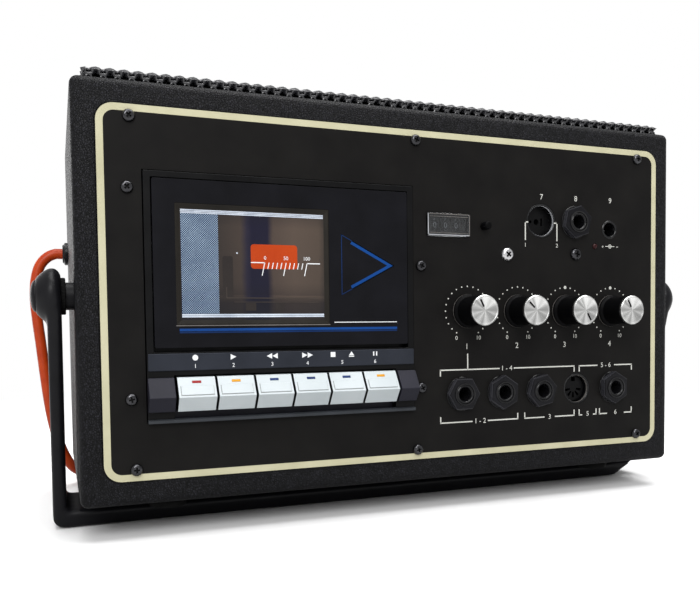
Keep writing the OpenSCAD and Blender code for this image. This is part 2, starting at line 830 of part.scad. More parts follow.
head_travel = 4;
bridge_t = 1.5;
bridge_y = chassis_y - 2 - fit;
pinch_r = 5;
pinch_z = capstan_z - capstan_r - pinch_r - head_travel - fit;

// The bridge slides up with the head and the pinch roller's pin.
module tape_head() {
    z0 = tape_bottom - 8;
    color([0.7, 0.7, 0.72]) placed() {
        block([deck_x - 30, bridge_y - bridge_t, z0 - 3], [deck_x + 30, bridge_y, z0 + 3]);
        block([deck_x - 6.5, door_back + 7, z0 - 4], [deck_x + 6.5, bridge_y, z0 + 6]);
        y_rod(capstan_x, pinch_z, 1, bridge_y - 10, bridge_y - bridge_t / 2);
        block([capstan_x - 3, bridge_y - bridge_t, z0], [capstan_x + 3, bridge_y, pinch_z + 2]);
        for (s = [-1, 1])
            block([deck_x + s * 26 - 2, bridge_y - eps / 2, z0 - 2], [deck_x + s * 26 + 2, chassis_y - run, z0 + 2]);
    }
}

module pinch_roller() {
    y1 = bridge_y - bridge_t - fit;
    color([0.09, 0.09, 0.09]) placed() difference() {
        y_rod(capstan_x, pinch_z, pinch_r, y1 - 7, y1);
        y_rod(capstan_x, pinch_z, 1 + run, y1 - 8, y1 + eps);
    }
}

module key_shaft() {
    half = 3 * key_pitch + 4.5;
    color([0.7, 0.7, 0.72]) placed()
        x_rod(deck_x + 0.8 - half, deck_x + 0.8 + half, key_axis_y, key_mid, key_shaft_d / 2);
}

// The key at place n counts from the left.
module piano_key(n) {
    x = key_x0 + n * key_pitch;
    half = (key_pitch - key_gap) / 2;
    eye_r = key_shaft_d / 2 + 1.8;
    color([0.76, 0.8, 0.83]) placed() difference() {
        union() {
            x_section(x - half, x + half) key_outline(deck_face + 3);
            block([x - 3, deck_face + 2, key_mid - 3], [x + 3, key_axis_y, key_mid + 3]);
            x_rod(x - 3, x + 3, key_axis_y, key_mid, eye_r);
        }
        x_rod(x - 4, x + 4, key_axis_y, key_mid, key_shaft_d / 2 + run);
    }
}

module cassette_door() {
    rib_y = hinge_y + hinge_pin_r + 0.6;
    color([0.11, 0.11, 0.12]) placed() difference() {
        union() {
            block([deck_x - door_w / 2, door_face, door_bottom], [deck_x + door_w / 2, door_back, door_top]);
            block([deck_x - door_w / 2, door_face, door_bottom], [deck_x + door_w / 2, rib_y, rib_top]);
            x_rod(deck_x - deck_w / 2 + 1.5, deck_x + deck_w / 2 - 1.5, hinge_y, hinge_z, hinge_pin_r);
        }
        translate([window_x, 0, window_z]) {
            plate(door_face - eps, door_back + eps) square([window_w - 3, window_h - 3], center = true);
            plate(door_face - eps, door_back - 0.8) square([window_w, window_h], center = true);
        }
    }
}

module door_window() {
    color([0.35, 0.27, 0.22, 0.5]) placed() translate([window_x, 0, window_z])
        plate(door_face + 0.4, door_back - 0.8)
            square([window_w - fit, window_h - fit], center = true);
}

module cassette_holder() {
    half = holder_in / 2;
    back = pocket_y + holder_t;
    shelf = capstan_x - deck_x + pinch_r + 1.2;
    color([0.15, 0.15, 0.16]) placed() translate([deck_x, 0, 0])
        for (s = [-1, 1]) mirror([s < 0 ? 1 : 0, 0, 0]) {
            block([half, door_back, tape_bottom - holder_t], [half + holder_t, back, tape_bottom + cassette_h]);
            block([half - 6, pocket_y, tape_bottom], [half + holder_t, back, tape_bottom + cassette_h]);
            block([shelf, door_back, tape_bottom - holder_t], [half + holder_t, back, tape_bottom]);
        }
}

// Knobs

// The control at place n counts from the left.
module knob(n) {
    r = knob_d / 2;
    cap_back = knob_front + cap_t;
    color([0.07, 0.07, 0.07]) placed() translate([dial_x + n * dial_pitch, 0, dial_z]) {
        difference() {
            union() {
                y_rod(0, 0, r + 0.3, face_y - 2.8, face_y - 0.5);
                y_rod(0, 0, r - 0.3, cap_back, face_y - 2.5);
            }
            y_rod(0, 0, shaft_d / 2 + 1.4, face_y - 5, face_y + eps);
        }
        y_rod(0, 0, shaft_d / 2, cap_back, panel_back + 5);
    }
}

// The pointer of a cap is turned from upright by angle, clockwise from the front.
module knob_cap(n, angle) {
    r = knob_d / 2;
    color([0.83, 0.83, 0.84]) placed() translate([dial_x + n * dial_pitch, 0, dial_z]) difference() {
        y_rod(0, 0, r, knob_front, knob_front + cap_t);
        rotate([0, angle, 0])
            block([-0.35, knob_front - eps, r * 0.3], [0.35, knob_front + 0.4, r * 0.85]);
    }
}

// Handle

module handle_side() {
    bore_r = pivot_d / 2 + run;
    rotate([0, 90, 0]) rotate_extrude() polygon([
        [bore_r, arm_x], [hub_d / 2 - 3.5, arm_x], [hub_d / 2, hub_wide_x], [cap_r, cap_x],
        [cap_r - 0.9, cap_x], [cap_r - 0.9, cap_x - 2.8], [bore_r, cap_x - 2.8]
    ]);
}

module handle() {
    outer = handle_reach + bar_t;
    x1 = arm_x + arm_t;
    corner = 5;
    half = strap_w / 2;
    color([0.08, 0.08, 0.09]) placed() translate([0, pivot_back, 0]) rotate([fold_angle, 0, 0]) {
        difference() {
            plate(-half, half) difference() {
                polygon([
                    [-x1, 0], [-x1, corner - outer], [corner - x1, -outer], [x1 - corner, -outer],
                    [x1, corner - outer], [x1, 0]
                ]);
                square([2 * arm_x, 2 * handle_reach], center = true);
            }
            translate([0, -half, -flat_reach]) rotate([-fold_angle, 0, 0])
                block([-x1 - eps, -strap_w, -bar_t], [x1 + eps, 2 * strap_w, 0]);
            for (s = [-1, 1])
                x_rod(s * (arm_x + arm_t / 2) - arm_t, s * (arm_x + arm_t / 2) + arm_t, 0, 0, hub_d / 2 - 4);
        }
        handle_side();
        mirror([1, 0, 0]) handle_side();
    }
}

module handle_caps() {
    color([0.1, 0.1, 0.11]) placed() for (s = [0, 1]) mirror([s, 0, 0])
        translate([0, pivot_back, 0]) rotate([0, 90, 0]) rotate_extrude() polygon([
            [0, cap_x + 0.2], [cap_r - 1.1, cap_x + 0.2], [cap_r - 1.1, cap_x],
            [cap_r, cap_x], [cap_r, cap_x + 0.7], [cap_r - 1.5, boss_end - 0.5], [cap_r - 4, boss_end],
            [0, boss_end]
        ]);
}

module pivot_bolts() {
    inner = side_x - case_wall;
    color([0.3, 0.3, 0.31]) placed() for (s = [0, 1]) mirror([s, 0, 0])
        translate([0, pivot_back, 0]) rotate([0, 90, 0]) {
            translate([0, 0, inner - 8]) cylinder(d = pivot_d, h = cap_x - 2.5 - inner + 8);
            translate([0, 0, inner - 6]) cylinder(d = 15, h = 6, $fn = 6);
            translate([0, 0, side_x]) cylinder(r = 6, h = shoulder_l);
            translate([0, 0, cap_x - 2.5]) cylinder(r = cap_r - 1.5, h = 2.2);
        }
}

module pivot_washers() {
    color([0.09, 0.09, 0.1]) placed() for (s = [0, 1]) mirror([s, 0, 0])
        translate([washer_x, pivot_back, 0]) rotate([0, 90, 0]) difference() {
            cylinder(r = 8, h = washer_t);
            translate([0, 0, -eps]) cylinder(r = pivot_d / 2 + run, h = washer_t + 2 * eps);
        }
}

// The folded bar clears the front pads and stands level with the rear feet.
module rubber_feet() {
    pad_h = 4.5;
    x = case_w / 2 - 38;
    color([0.06, 0.06, 0.06]) placed() for (s = [-1, 1]) {
        translate([s * x, pivot_back - 2, -case_h / 2 - pad_h]) cylinder(r1 = 8, r2 = 9, h = pad_h);
        translate([s * x, case_d - 18, floor_z]) cylinder(r1 = 9, r2 = 11, h = stand_h);
    }
}

// Mains lead

module lead_gland() {
    r = lead_r + 2;
    color([0.07, 0.07, 0.07]) placed() translate([0, gland_y, gland_z]) difference() {
        union() {
            x_rod(-side_x - 0.5, -side_x + case_wall, 0, 0, r);
            translate([-side_x - gland_out, 0, 0]) rotate([0, 90, 0]) cylinder(r1 = r, r2 = r + 1.4, h = gland_out);
        }
        x_rod(-side_x + 1, -side_x + case_wall + eps, 0, 0, lead_r);
    }
}

// Sweep of a round tube along points, with sides and rings as one solid.
function unit(v) = v / norm(v);
function tangent(p, i) = unit(p[min(i + 1, len(p) - 1)] - p[max(i - 1, 0)]);
// The ring's first side vector is carried along the tube without twist.
function carry(p, i, u) = let (t = tangent(p, i)) unit(u - (u * t) * t);
function frames(p, u, i = 0) = i == len(p) ? [] : let (v = carry(p, i, u)) concat([v], frames(p, v, i + 1));
function ring(p, i, u, r, n) = let (t = tangent(p, i), w = cross(t, u))
    [for (k = [0:n - 1]) p[i] + r * (cos(360 * k / n) * u + sin(360 * k / n) * w)];

module tube(p, r, n, up) {
    u = frames(p, up);
    rings = [for (i = [0:len(p) - 1]) each ring(p, i, u[i], r, n)];
    last = (len(p) - 1) * n;
    walls = [for (i = [0:len(p) - 2], k = [0:n - 1]) let (a = i * n + k, b = i * n + (k + 1) % n)
        each [[a, b, a + n], [b, b + n, a + n]]];
    ends = [for (k = [1:n - 2]) each [[0, k + 1, k], [last, last + k, last + k + 1]]];
    polyhedron(rings, concat(walls, ends), convexity = 10);
}

// Points between the route's points, on a smooth curve through them.
function smooth_at(p, i, t) = let (
    a = p[max(i - 1, 0)], b = p[i], c = p[i + 1], d = p[min(i + 2, len(p) - 1)]
) b + 0.5 * t * (c - a + t * (2 * a - 5 * b + 4 * c - d + t * (3 * (b - c) + d - a)));
function smooth(p, n) = concat(
    [for (i = [0:len(p) - 2], k = [0:n - 1]) smooth_at(p, i, k / n)], [p[len(p) - 1]]
);

function path_length(p) = len(p) < 2 ? 0 : [for (i = 1, s = norm(p[1] - p[0]); i < len(p);
    i = i + 1, s = s + (i < len(p) ? norm(p[i] - p[i - 1]) : 0)) s][len(p) - 2];

// The lead's ends are straight; the points between them are smoothed.
last_point = len(LEAD_ROUTE) - 1;
LEAD = concat(
    [LEAD_ROUTE[0]],
    smooth([for (i = [1:last_point - 1]) LEAD_ROUTE[i]], 2),
    [LEAD_ROUTE[last_point]]
);

module mains_lead() {
    echo(lead_length = path_length(LEAD));
    color([0.8, 0.27, 0.13]) placed() tube(LEAD, lead_r, 10, [0, 1, 0]);
}

// Radius and height of the coil after a number of turns: inwards on the lower
// layer, then outwards on the upper one, with the climb in the half turn between.
function coil_radius(t) = coil_r_out - coil_step * (coil_turns_back - abs(t - coil_turns_back));
function coil_height(t) = let (k = min(max((t - coil_turns_in) / 0.5, 0), 1))
    coil_layer * (1 - cos(180 * k)) / 2;
function coil_point(t) = [
    coil_x + coil_radius(t) * cos(180 - 360 * t), coil_y + coil_radius(t) * sin(180 - 360 * t),
    floor_z + floor_lead + coil_height(t)
];
rings_per_turn = 24;
COIL = let (
    turns = [for (k = [0:ceil(coil_turns * rings_per_turn)]) coil_point(min(k / rings_per_turn, coil_turns))],
    end = turns[len(turns) - 1]
) concat([turns[0] - [0, lead_d, 0]], turns, [end + [lead_d, 0, 0], end + [coil_tail, 0, 0]]);
coil_end = COIL[len(COIL) - 1];

// Least gap between turns, on points at least half a turn apart.
coil_gap = min([for (i = [0:len(COIL) - 1], j = [i + 12:1:len(COIL) - 1]) norm(COIL[i] - COIL[j])]) - lead_d;

module lead_coil() {
    echo(coil_gap = coil_gap, coil_length = path_length(COIL));
    color([0.8, 0.27, 0.13]) placed() tube(COIL, lead_r, 6, [0, 0, 1]);
}

module coil_tie() {
    half_w = coil_step * (coil_turns_in / 2 - 0.15) + lead_r + tie_gap;
    top = floor_lead + coil_layer + lead_r + tie_gap;
    color([0.08, 0.08, 0.08]) placed() translate([coil_x, coil_y, floor_z]) rotate([0, 0, -35])
        translate([coil_d / 2 - coil_step * 0.4, 0, 0]) plate(-3, 3) difference() {
            translate([-half_w - tie_t, 0]) square([2 * (half_w + tie_t), top + tie_t]);
            translate([-half_w, tie_t]) square([2 * half_w, top - tie_t]);
        }
}

// A moulded plug that lies on its back, with its pins up.
module mains_plug() {
    grip_l = 16;
    color([0.09, 0.09, 0.09]) placed() translate([coil_end[0], coil_end[1], 0]) {
        x_rod(0, grip_l, 0, coil_end[2], lead_r + 2);
        difference() {
            union() {
                translate([grip_l - 2, 0, floor_z]) linear_extrude(plug_t) polygon([
                    [0, -9], [9, -plug_w / 2], [plug_l, -plug_w / 2 + 4], [plug_l, plug_w / 2 - 4],
                    [9, plug_w / 2], [0, 9]
                ]);
            }
            translate([grip_l + 4, 0, floor_z + plug_t - 1.2]) cylinder(d = 7, h = 3);
        }
        for (s = [-1, 1])
            block(
                [grip_l + 12, s * 11.1 - 3.2, floor_z + plug_t - eps],
                [grip_l + 16, s * 11.1 + 3.2, floor_z + plug_t + 17.7]
            );
        block([grip_l + 34, -2, floor_z + plug_t - eps], [grip_l + 42, 2, floor_z + plug_t + 22.7]);
    }
}

cabinet();
rear_panel();
front_panel();
case_screws();
speaker_grille();
speaker_driver();
speaker_cone();
amplifier_board();
mains_transformer();
control_pots();
jack_sockets();
jack_nuts();
speaker_socket();
din_socket();
dc_socket();
power_lamp();
deck_bezel();
deck_chassis();
drive_motor();
motor_pulley();
flywheel();
drive_belt();
supply_hub();
takeup_hub();
tape_head();
pinch_roller();
key_shaft();
counter_body();
counter_wheel(2);  // units_wheel
counter_wheel(1);  // tens_wheel
counter_wheel(0);  // hundreds_wheel
counter_window();
reset_button();
cassette_door();
door_window();
cassette_holder();
piano_key(0);  // record_key
piano_key(1);  // play_key
piano_key(2);  // rewind_key
piano_key(3);  // forward_key
piano_key(4);  // stop_key
piano_key(5);  // pause_key
knob(0);  // input_knob
knob(1);  // tape_knob
knob(2);  // bass_knob
knob(3);  // treble_knob
knob_cap(0, -27);  // input_cap
knob_cap(1, -47);  // tape_cap
knob_cap(2, 150);  // bass_cap
knob_cap(3, -29);  // treble_cap
handle();
handle_caps();
pivot_bolts();
pivot_washers();
rubber_feet();
lead_gland();
mains_lead();
lead_coil();
coil_tie();
mains_plug();
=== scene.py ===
import math

import bmesh
import bpy
from bmesh.types import BMEdge, BMFace, BMVert
from mathutils import Matrix, Vector


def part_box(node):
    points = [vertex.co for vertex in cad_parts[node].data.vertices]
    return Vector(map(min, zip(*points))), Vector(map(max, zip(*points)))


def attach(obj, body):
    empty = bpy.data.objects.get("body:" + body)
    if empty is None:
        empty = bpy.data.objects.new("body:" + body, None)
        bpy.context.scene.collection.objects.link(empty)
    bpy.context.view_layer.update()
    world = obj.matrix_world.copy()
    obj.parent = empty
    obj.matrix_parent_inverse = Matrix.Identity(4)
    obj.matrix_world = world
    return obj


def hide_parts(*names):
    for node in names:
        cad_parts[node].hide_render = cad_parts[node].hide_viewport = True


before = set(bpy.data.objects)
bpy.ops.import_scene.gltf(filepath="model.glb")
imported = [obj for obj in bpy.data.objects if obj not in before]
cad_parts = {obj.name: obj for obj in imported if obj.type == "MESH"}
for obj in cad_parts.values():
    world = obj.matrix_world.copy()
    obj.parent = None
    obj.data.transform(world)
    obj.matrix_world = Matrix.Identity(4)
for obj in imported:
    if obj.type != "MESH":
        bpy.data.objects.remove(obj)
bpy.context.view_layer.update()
scene = bpy.context.scene

# Places. Pieces are drawn in millimetres about the middle of the front panel:
# X to the right, Y to the back from the cabinet's front face, Z up.
MM = 0.001
PANEL_LOW, PANEL_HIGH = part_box("front_panel")
PANEL_FACE = -0.5
PLACE = Matrix.Translation(
    (0, PANEL_LOW.y - PANEL_FACE * MM, (PANEL_LOW.z + PANEL_HIGH.z) / 2)
) @ Matrix.Scale(MM, 4)
FLOOR_Z = -PLACE.translation.z / MM

CASE_W, CASE_D, CASE_H = 311, 150, 180
PANEL_W, PANEL_H = 292, 159
DECK_X, DECK_W = -64.7, 126
DECK_TOP, DECK_BOTTOM, DECK_FACE = 52.55, -54.95, -1.5
DOOR_W, DOOR_TOP, DOOR_BOTTOM, DOOR_FACE = 118.5, 49.15, -22.85, -2
HINGE_Y, HINGE_Z = 1.2, -21.15
WINDOW_X, WINDOW_Z, WINDOW_W, WINDOW_H = -79.8, 12.975, 69.6, 52.35
STRIP_TOP, STRIP_LOW, STRIP_FACE = -25.25, -32.7, DECK_FACE - 0.9
KEY_MID, KEY_H, KEY_X0, KEY_PITCH, KEY_AXIS_Y = -42.85, 14.6, -107.025, 17.25, 24.5
KEY_NAMES = ("record", "play", "rewind", "forward", "stop", "pause")
DIAL_X, DIAL_PITCH, DIAL_Z, KNOB_FRONT = 28, 29.1, -7.3, -17.95
DIAL_NAMES = ("input", "tape", "bass", "treble")
DIAL_ANGLES = (-27, -47, 150, -29)
SOCKET_X, SOCKET_PITCH, SOCKET_Z = 24.6, 23, -48.3
UPPER_Z, PHONES_X = 39, 92.3
SPEAKER_SOCKET_X = PHONES_X - 20.9
INLET_X, INLET_Z = PHONES_X + 22.3, UPPER_Z - 3
LAMP_X, LAMP_Z = PHONES_X + 12.9, UPPER_Z - 12.1
COUNTER_X, COUNTER_Z = 17.4, 34.9
RESET_X = COUNTER_X + 20.15
PIVOT_Y = 20
LEAD_EXIT = Vector((-158.5, 130, 29))


def put(name, data):
    """A new object in the scene."""
    made = bpy.data.objects.new(name, data)
    scene.collection.objects.link(made)
    return made


# Camera, at the photograph's viewing angle.
SIGHT_RIGHT = Vector((0.933428, -0.358576, -0.011648))
SIGHT_DOWN = Vector((-0.026421, -0.036324, -0.998991))
SIGHT_AHEAD = Vector((0.357791, 0.932794, -0.04338))
SIGHT_FROM = Vector((-163.0, -334.77, -16.53))
FOCAL_PX, CENTRE_PX, WIDTH_PX, HEIGHT_PX = 764.54, 364.35, 700, 611
SENSOR_MM = 36

sight = bpy.data.cameras.new("sight")
sight.sensor_width = SENSOR_MM
sight.lens = FOCAL_PX / WIDTH_PX * SENSOR_MM
sight.shift_y = (CENTRE_PX - HEIGHT_PX / 2) / WIDTH_PX
sight.clip_start = 0.01
camera = put("camera", sight)
camera.matrix_world = (
    Matrix.Translation(PLACE @ SIGHT_FROM)
    @ Matrix((SIGHT_RIGHT, -SIGHT_DOWN, -SIGHT_AHEAD)).transposed().to_4x4()
)
scene.camera = camera
scene.view_settings.view_transform = "Standard"


# Paints and finishes

def tone(r, g, b):
    """A colour as it shows on a screen, 0 to 255, as a shader's colour."""
    def linear(c):
        c = c / 255
        return c / 12.92 if c <= 0.04045 else ((c + 0.055) / 1.055) ** 2.4
    return linear(r), linear(g), linear(b), 1


def grey(value):
    return value, value, value, 1


def join(tree, value, socket):
    """Links a node's output to an input, or sets the input to a plain value."""
    if isinstance(value, bpy.types.NodeSocket):
        tree.links.new(value, socket)
    else:
        socket.default_value = value


def add_node(tree, kind, output, inputs=(), **traits):
    """Adds a shader node with these traits and inputs, and gives back one of its outputs."""
    node = tree.nodes.new("ShaderNode" + kind)
    for trait, value in traits.items():
        setattr(node, trait, value)
    for socket, value in dict(inputs).items():
        join(tree, value, node.inputs[socket])
    return node.outputs[output]


class Paint:
    """A material whose pattern nodes are added one by one."""

    def __init__(self, name, specular=0.5, metal=0):
        self.material = bpy.data.materials.new(name)
        self.material.use_nodes = True
        self.tree = self.material.node_tree
        self.shader = self.tree.nodes["Principled BSDF"]
        self.set("Metallic", metal)
        self.set("Specular IOR Level", specular)

    def set(self, socket, value):
        join(self.tree, value, self.shader.inputs[socket])

    def node(self, kind, output, inputs=(), **traits):
        return add_node(self.tree, kind, output, inputs, **traits)

    def place(self, stretch=(1, 1, 1), turn=(0, 0, 0), shift=(0, 0, 0)):
        where = self.node("TexCoord", "Object")
        return self.node(
            "Mapping", "Vector", {"Vector": where, "Scale": stretch, "Rotation": turn, "Location": shift}
        )

    def noise(self, scale, detail=3, stretch=(1, 1, 1), distortion=0):
        return self.node("TexNoise", "Fac", {
            "Vector": self.place(stretch), "Scale": scale, "Detail": detail, "Distortion": distortion,
        })

    def ramp(self, value, *stops):
        colour = self.node("ValToRGB", "Color", {"Fac": value})
        marks = colour.node.color_ramp.elements
        while len(marks) < len(stops):
            marks.new(0.5)
        for mark, (at, shade) in zip(marks, stops):
            mark.position = at
            mark.color = shade
        return colour

    def shades(self, value, dark, light):
        return self.ramp(value, (0.3, tone(*dark)), (0.7, tone(*light)))

    def spread(self, value, low, high, start=0.3, end=0.7):
        return self.node("MapRange", "Result", {
            "Value": value, "From Min": start, "From Max": end, "To Min": low, "To Max": high,
        })

    def math(self, how, a, b):
        return self.node("Math", "Value", {0: a, 1: b}, operation=how)

    def blend(self, share, first, second):
        """The first colour where the share is 0 and the second where it is 1."""
        return self.node("Mix", 2, {0: share, 6: first, 7: second}, data_type="RGBA")

    def bump(self, height, strength, depth_mm):
        inputs = {"Height": height, "Strength": strength, "Distance": depth_mm * MM}
        before = self.shader.inputs["Normal"]
        if before.is_linked:
            inputs["Normal"] = before.links[0].from_socket
        self.set("Normal", self.node("Bump", "Normal", inputs))

    def finish(self, colour, roughness):
        self.set("Base Color", colour)
        self.set("Roughness", roughness)
        return self.material


FINE_GRAIN, INK_GRAIN, GLOSS_GRAIN = (2500, 0.15, 0.05), (1800, 0.15, 0.03), (2200, 0.08, 0.03)


def moulded(name, dark, light, rough, specular=0.5, grain=FINE_GRAIN, mottle=60, metal=0):
    """A moulded or painted surface: soft mottling, fine grain and uneven gloss."""
    paint = Paint(name, specular, metal)
    scale, strength, depth = grain
    paint.bump(paint.noise(scale, 2), strength, depth)
    return paint.finish(
        paint.shades(paint.noise(mottle, 5), dark, light), paint.spread(paint.noise(mottle * 2.3, 6), *rough)
    )


def brushed(name, dark, light, rough=(0.2, 0.4), stretch=(1, 1, 12)):
    paint = Paint(name, metal=1)
    lines = paint.noise(300, 6, stretch)
    paint.bump(paint.noise(1800, 3, stretch), 0.1, 0.02)
    return paint.finish(paint.shades(lines, dark, light), paint.spread(lines, *rough))


def leathercloth():
    paint = Paint("leathercloth", 0.12)
    grain = paint.noise(560, 5, (1, 1, 0.7), 1.8)
    pores = paint.node(
        "TexVoronoi", "Distance", {"Vector": paint.place((1, 1, 0.8)), "Scale": 1100}, feature="DISTANCE_TO_EDGE"
    )
    folds = paint.noise(150, 3, (1, 1, 0.6), 0.8)
    rise = paint.math("ADD", grain, paint.math("MULTIPLY", paint.spread(pores, 0, 1, 0, 0.3), 0.35))
    paint.bump(folds, 0.2, 0.25)
    paint.bump(rise, 1, 0.45)
    return paint.finish(
        paint.ramp(rise, (0.4, tone(6, 6, 7)), (0.7, tone(17, 17, 19)), (1, tone(40, 40, 45))),
        paint.spread(grain, 0.34, 0.54),
    )


# Painted highlights round a knob's cap: brightness by angle, in bright and dim sectors, painted into its colour.
PAINTED_CAP_SHEEN = (
    (0, 168), (0.07, 218), (0.115, 152), (0.15, 228), (0.18, 178), (0.22, 252), (0.27, 255), (0.33, 220),
    (0.39, 246), (0.45, 174), (0.5, 158), (0.555, 222), (0.6, 168), (0.67, 192), (0.725, 242), (0.745, 255),
    (0.765, 248), (0.8, 178), (0.86, 240), (0.915, 190), (0.96, 230), (1, 168),
)


def spun_metal(name, centre):
    """Spun aluminium: fine turning rings about a knob's middle, crossed by painted highlights in bright and dim
    sectors.
    """
    paint = Paint(name, metal=1)
    spot = PLACE @ Vector(centre)
    rings = paint.node(
        "TexWave", "Fac", {"Vector": paint.place(shift=-spot), "Scale": 900, "Distortion": 0.4},
        wave_type="RINGS", rings_direction="Y",
    )
    upright = paint.place(turn=(math.radians(90), 0, 0), shift=(-spot.x, spot.z, -spot.y))
    around = paint.node("TexGradient", "Fac", {"Vector": upright}, gradient_type="RADIAL")
    # Painted highlights: the cap's colour made brighter and dimmer by angle round its middle.
    painted_sheen = paint.ramp(around, *[(at, tone(v, v, v - 2)) for at, v in PAINTED_CAP_SHEEN])
    paint.set("Anisotropic", 0.6)
    paint.set("Tangent", paint.node("Tangent", "Tangent", direction_type="RADIAL", axis="Y"))
    paint.bump(rings, 0.08, 0.02)
    return paint.finish(
        paint.blend(paint.spread(rings, 0, 0.22, 0, 1), painted_sheen, tone(236, 236, 238)),
        paint.spread(rings, 0.24, 0.36, 0, 1),
    )


def smoked_pane():
    """The door's smoked window: brown, with a navy band behind it and shade at its foot."""
    paint = Paint("smoked_plastic", 0.22)
    paint.set("Coat Weight", 0.08)
    paint.set("Coat Roughness", 0.05)
    haze = paint.spread(paint.noise(160, 3), -0.004, 0.004)
    (left, _, low), (right, _, high) = (PLACE @ Vector(spot) for spot in ((-114, 0, -10), (-44, 0, 36.8)))

    def share(axis, start, end):
        along = paint.node("SeparateXYZ", axis, {"Vector": paint.place()})
        return paint.math("ADD", paint.spread(along, 0, 1, start, end), haze)

    tint = paint.ramp(
        share("X", left, right),
        (0.26, tone(52, 46, 43)), (0.40, tone(64, 55, 50)), (0.44, tone(38, 35, 50)), (0.47, tone(24, 23, 42)),
        (0.575, tone(25, 24, 42)), (0.61, tone(74, 63, 57)), (0.75, tone(84, 72, 64)), (0.92, tone(78, 67, 59)),
        (0.97, tone(50, 44, 40)),
    )
    shade = paint.ramp(
        share("Z", low, high),
        (0.02, grey(0.8)), (0.14, grey(0.72)), (0.17, grey(0.5)), (0.205, grey(0.14)), (0.215, grey(0.42)),
        (0.33, grey(0.12)), (0.85, grey(0)), (0.97, grey(0.35)),
    )
    paint.bump(paint.noise(150, 2), 0.03, 0.05)
    return paint.finish(
        paint.blend(shade, tint, tone(22, 22, 28)), paint.spread(paint.noise(200, 4), 0.1, 0.2)
    )


def halftone():
    """A printed band of fine pale dots on blue."""
    paint = Paint("halftone_print", 0.3)
    slant = paint.place(turn=(math.radians(90), 0, math.radians(45)))
    dots = paint.node(
        "TexVoronoi", "Distance", {"Vector": slant, "Randomness": 0, "Scale": 1480}, voronoi_dimensions="2D"
    )
    size = paint.math("ADD", dots, paint.spread(paint.noise(70, 2), -0.03, 0.03))
    return paint.finish(
        paint.ramp(size, (0.23, tone(176, 198, 214)), (0.32, tone(24, 46, 82))),
        paint.spread(paint.noise(400), 0.3, 0.45),
    )


def clear_block():
    paint = Paint("clear_plastic")
    paint.set("Transmission Weight", 1)
    paint.set("IOR", 1.49)
    return paint.finish(
        paint.shades(paint.noise(120), (205, 210, 214), (225, 228, 232)),
        paint.spread(paint.noise(500, 4), 0.02, 0.09),
    )


def lead_cover():
    paint = Paint("lead_orange", 0.25)
    paint.bump(paint.noise(900, 3), 0.12, 0.06)
    return paint.finish(
        paint.shades(paint.noise(150, 5), (172, 54, 14), (188, 66, 20)),
        paint.spread(paint.noise(420, 4), 0.32, 0.48),
    )


LEATHERCLOTH = leathercloth()
PANEL_PAINT = moulded("panel_paint", (17, 16, 16), (24, 23, 22), (0.4, 0.54), 0.08, (3200, 0.2, 0.03), 45)
GRILLE_ENAMEL = moulded("grille_enamel", (30, 30, 33), (50, 50, 54), (0.16, 0.28), 0.9, (1800, 0.2, 0.05))
GRILLE_CLOTH = moulded("grille_cloth", (7, 7, 8), (12, 12, 13), (0.85, 0.98), 0.05, (900, 0.5, 0.1), 300)
HANDLE_BLACK = moulded("handle_black", (15, 15, 18), (22, 22, 25), (0.3, 0.44), 0.17, (1500, 0.2, 0.06))
DEEP_BLACK = moulded("deep_black", (8, 8, 9), (14, 14, 15), (0.3, 0.44), 0.12)
GLOSS_BLACK = moulded("gloss_black", (10, 10, 12), (17, 17, 19), (0.18, 0.3), 0.3, GLOSS_GRAIN)
KNOB_BLACK = moulded("knob_black", (5, 5, 6), (9, 9, 10), (0.35, 0.5), 0.05, GLOSS_GRAIN)
NUT_BLACK = moulded("nut_black", (14, 14, 17), (21, 21, 25), (0.2, 0.34), 0.16, (2200, 0.1, 0.03))
# Painted highlight: a lighter grey for the sides and ledge of each nut, so that its edges show as lit lines.
NUT_HIGHLIGHT = moulded("nut_highlight", (44, 44, 48), (60, 60, 65), (0.2, 0.34), 0.3, (2200, 0.1, 0.03))
DOOR_CHARCOAL = moulded("door_charcoal", (17, 17, 20), (22, 22, 26), (0.3, 0.4), 0.07, (2600, 0.12, 0.03))
STRIP_CHARCOAL = moulded("strip_charcoal", (38, 41, 48), (46, 49, 57), (0.34, 0.46), 0.1)
FLANK_CHARCOAL = moulded("flank_charcoal", (34, 34, 42), (40, 40, 49), (0.34, 0.46), 0.14)
LIP_GREY = moulded("lip_grey", (47, 50, 54), (56, 59, 64), (0.36, 0.48), 0.2)
WINDOW_BROWN = moulded("window_brown", (31, 29, 26), (40, 37, 33), (0.3, 0.42), 0.1)
# Painted light: a mid grey for painted highlights on dark parts and for painted shadow lines round the light key
# pads, and a bright grey for painted highlights.
HIGHLIGHT_AND_SHADE_GREY = moulded("highlight_and_shade_grey", (98, 95, 92), (116, 112, 109), (0.3, 0.44), 0.3)
HIGHLIGHT_BRIGHT = moulded("highlight_bright", (150, 152, 156), (184, 186, 190), (0.2, 0.34), 0.4)
KEY_GREY = moulded("key_grey", (184, 192, 195), (195, 202, 205), (0.28, 0.4), 0.35, (1600, 0.06, 0.04), 35)
CREAM_INK = moulded("cream_ink", (184, 180, 149), (198, 194, 164), (0.4, 0.55), 0.2, INK_GRAIN)
PRINT_INK = moulded("print_ink", (196, 196, 189), (212, 212, 206), (0.4, 0.55), 0.2, INK_GRAIN)
WHITE_INK = moulded("white_ink", (222, 224, 226), (238, 239, 241), (0.35, 0.5), 0.2, INK_GRAIN)
SILVER_INK = moulded("silver_ink", (178, 188, 204), (214, 222, 234), (0.3, 0.45), 0.2, INK_GRAIN, 160)
BLUE_INK = moulded("blue_ink", (9, 58, 122), (14, 68, 138), (0.34, 0.46), 0.15, INK_GRAIN)
NAVY_INK = moulded("navy_ink", (8, 36, 78), (12, 44, 92), (0.34, 0.46), 0.15, INK_GRAIN)
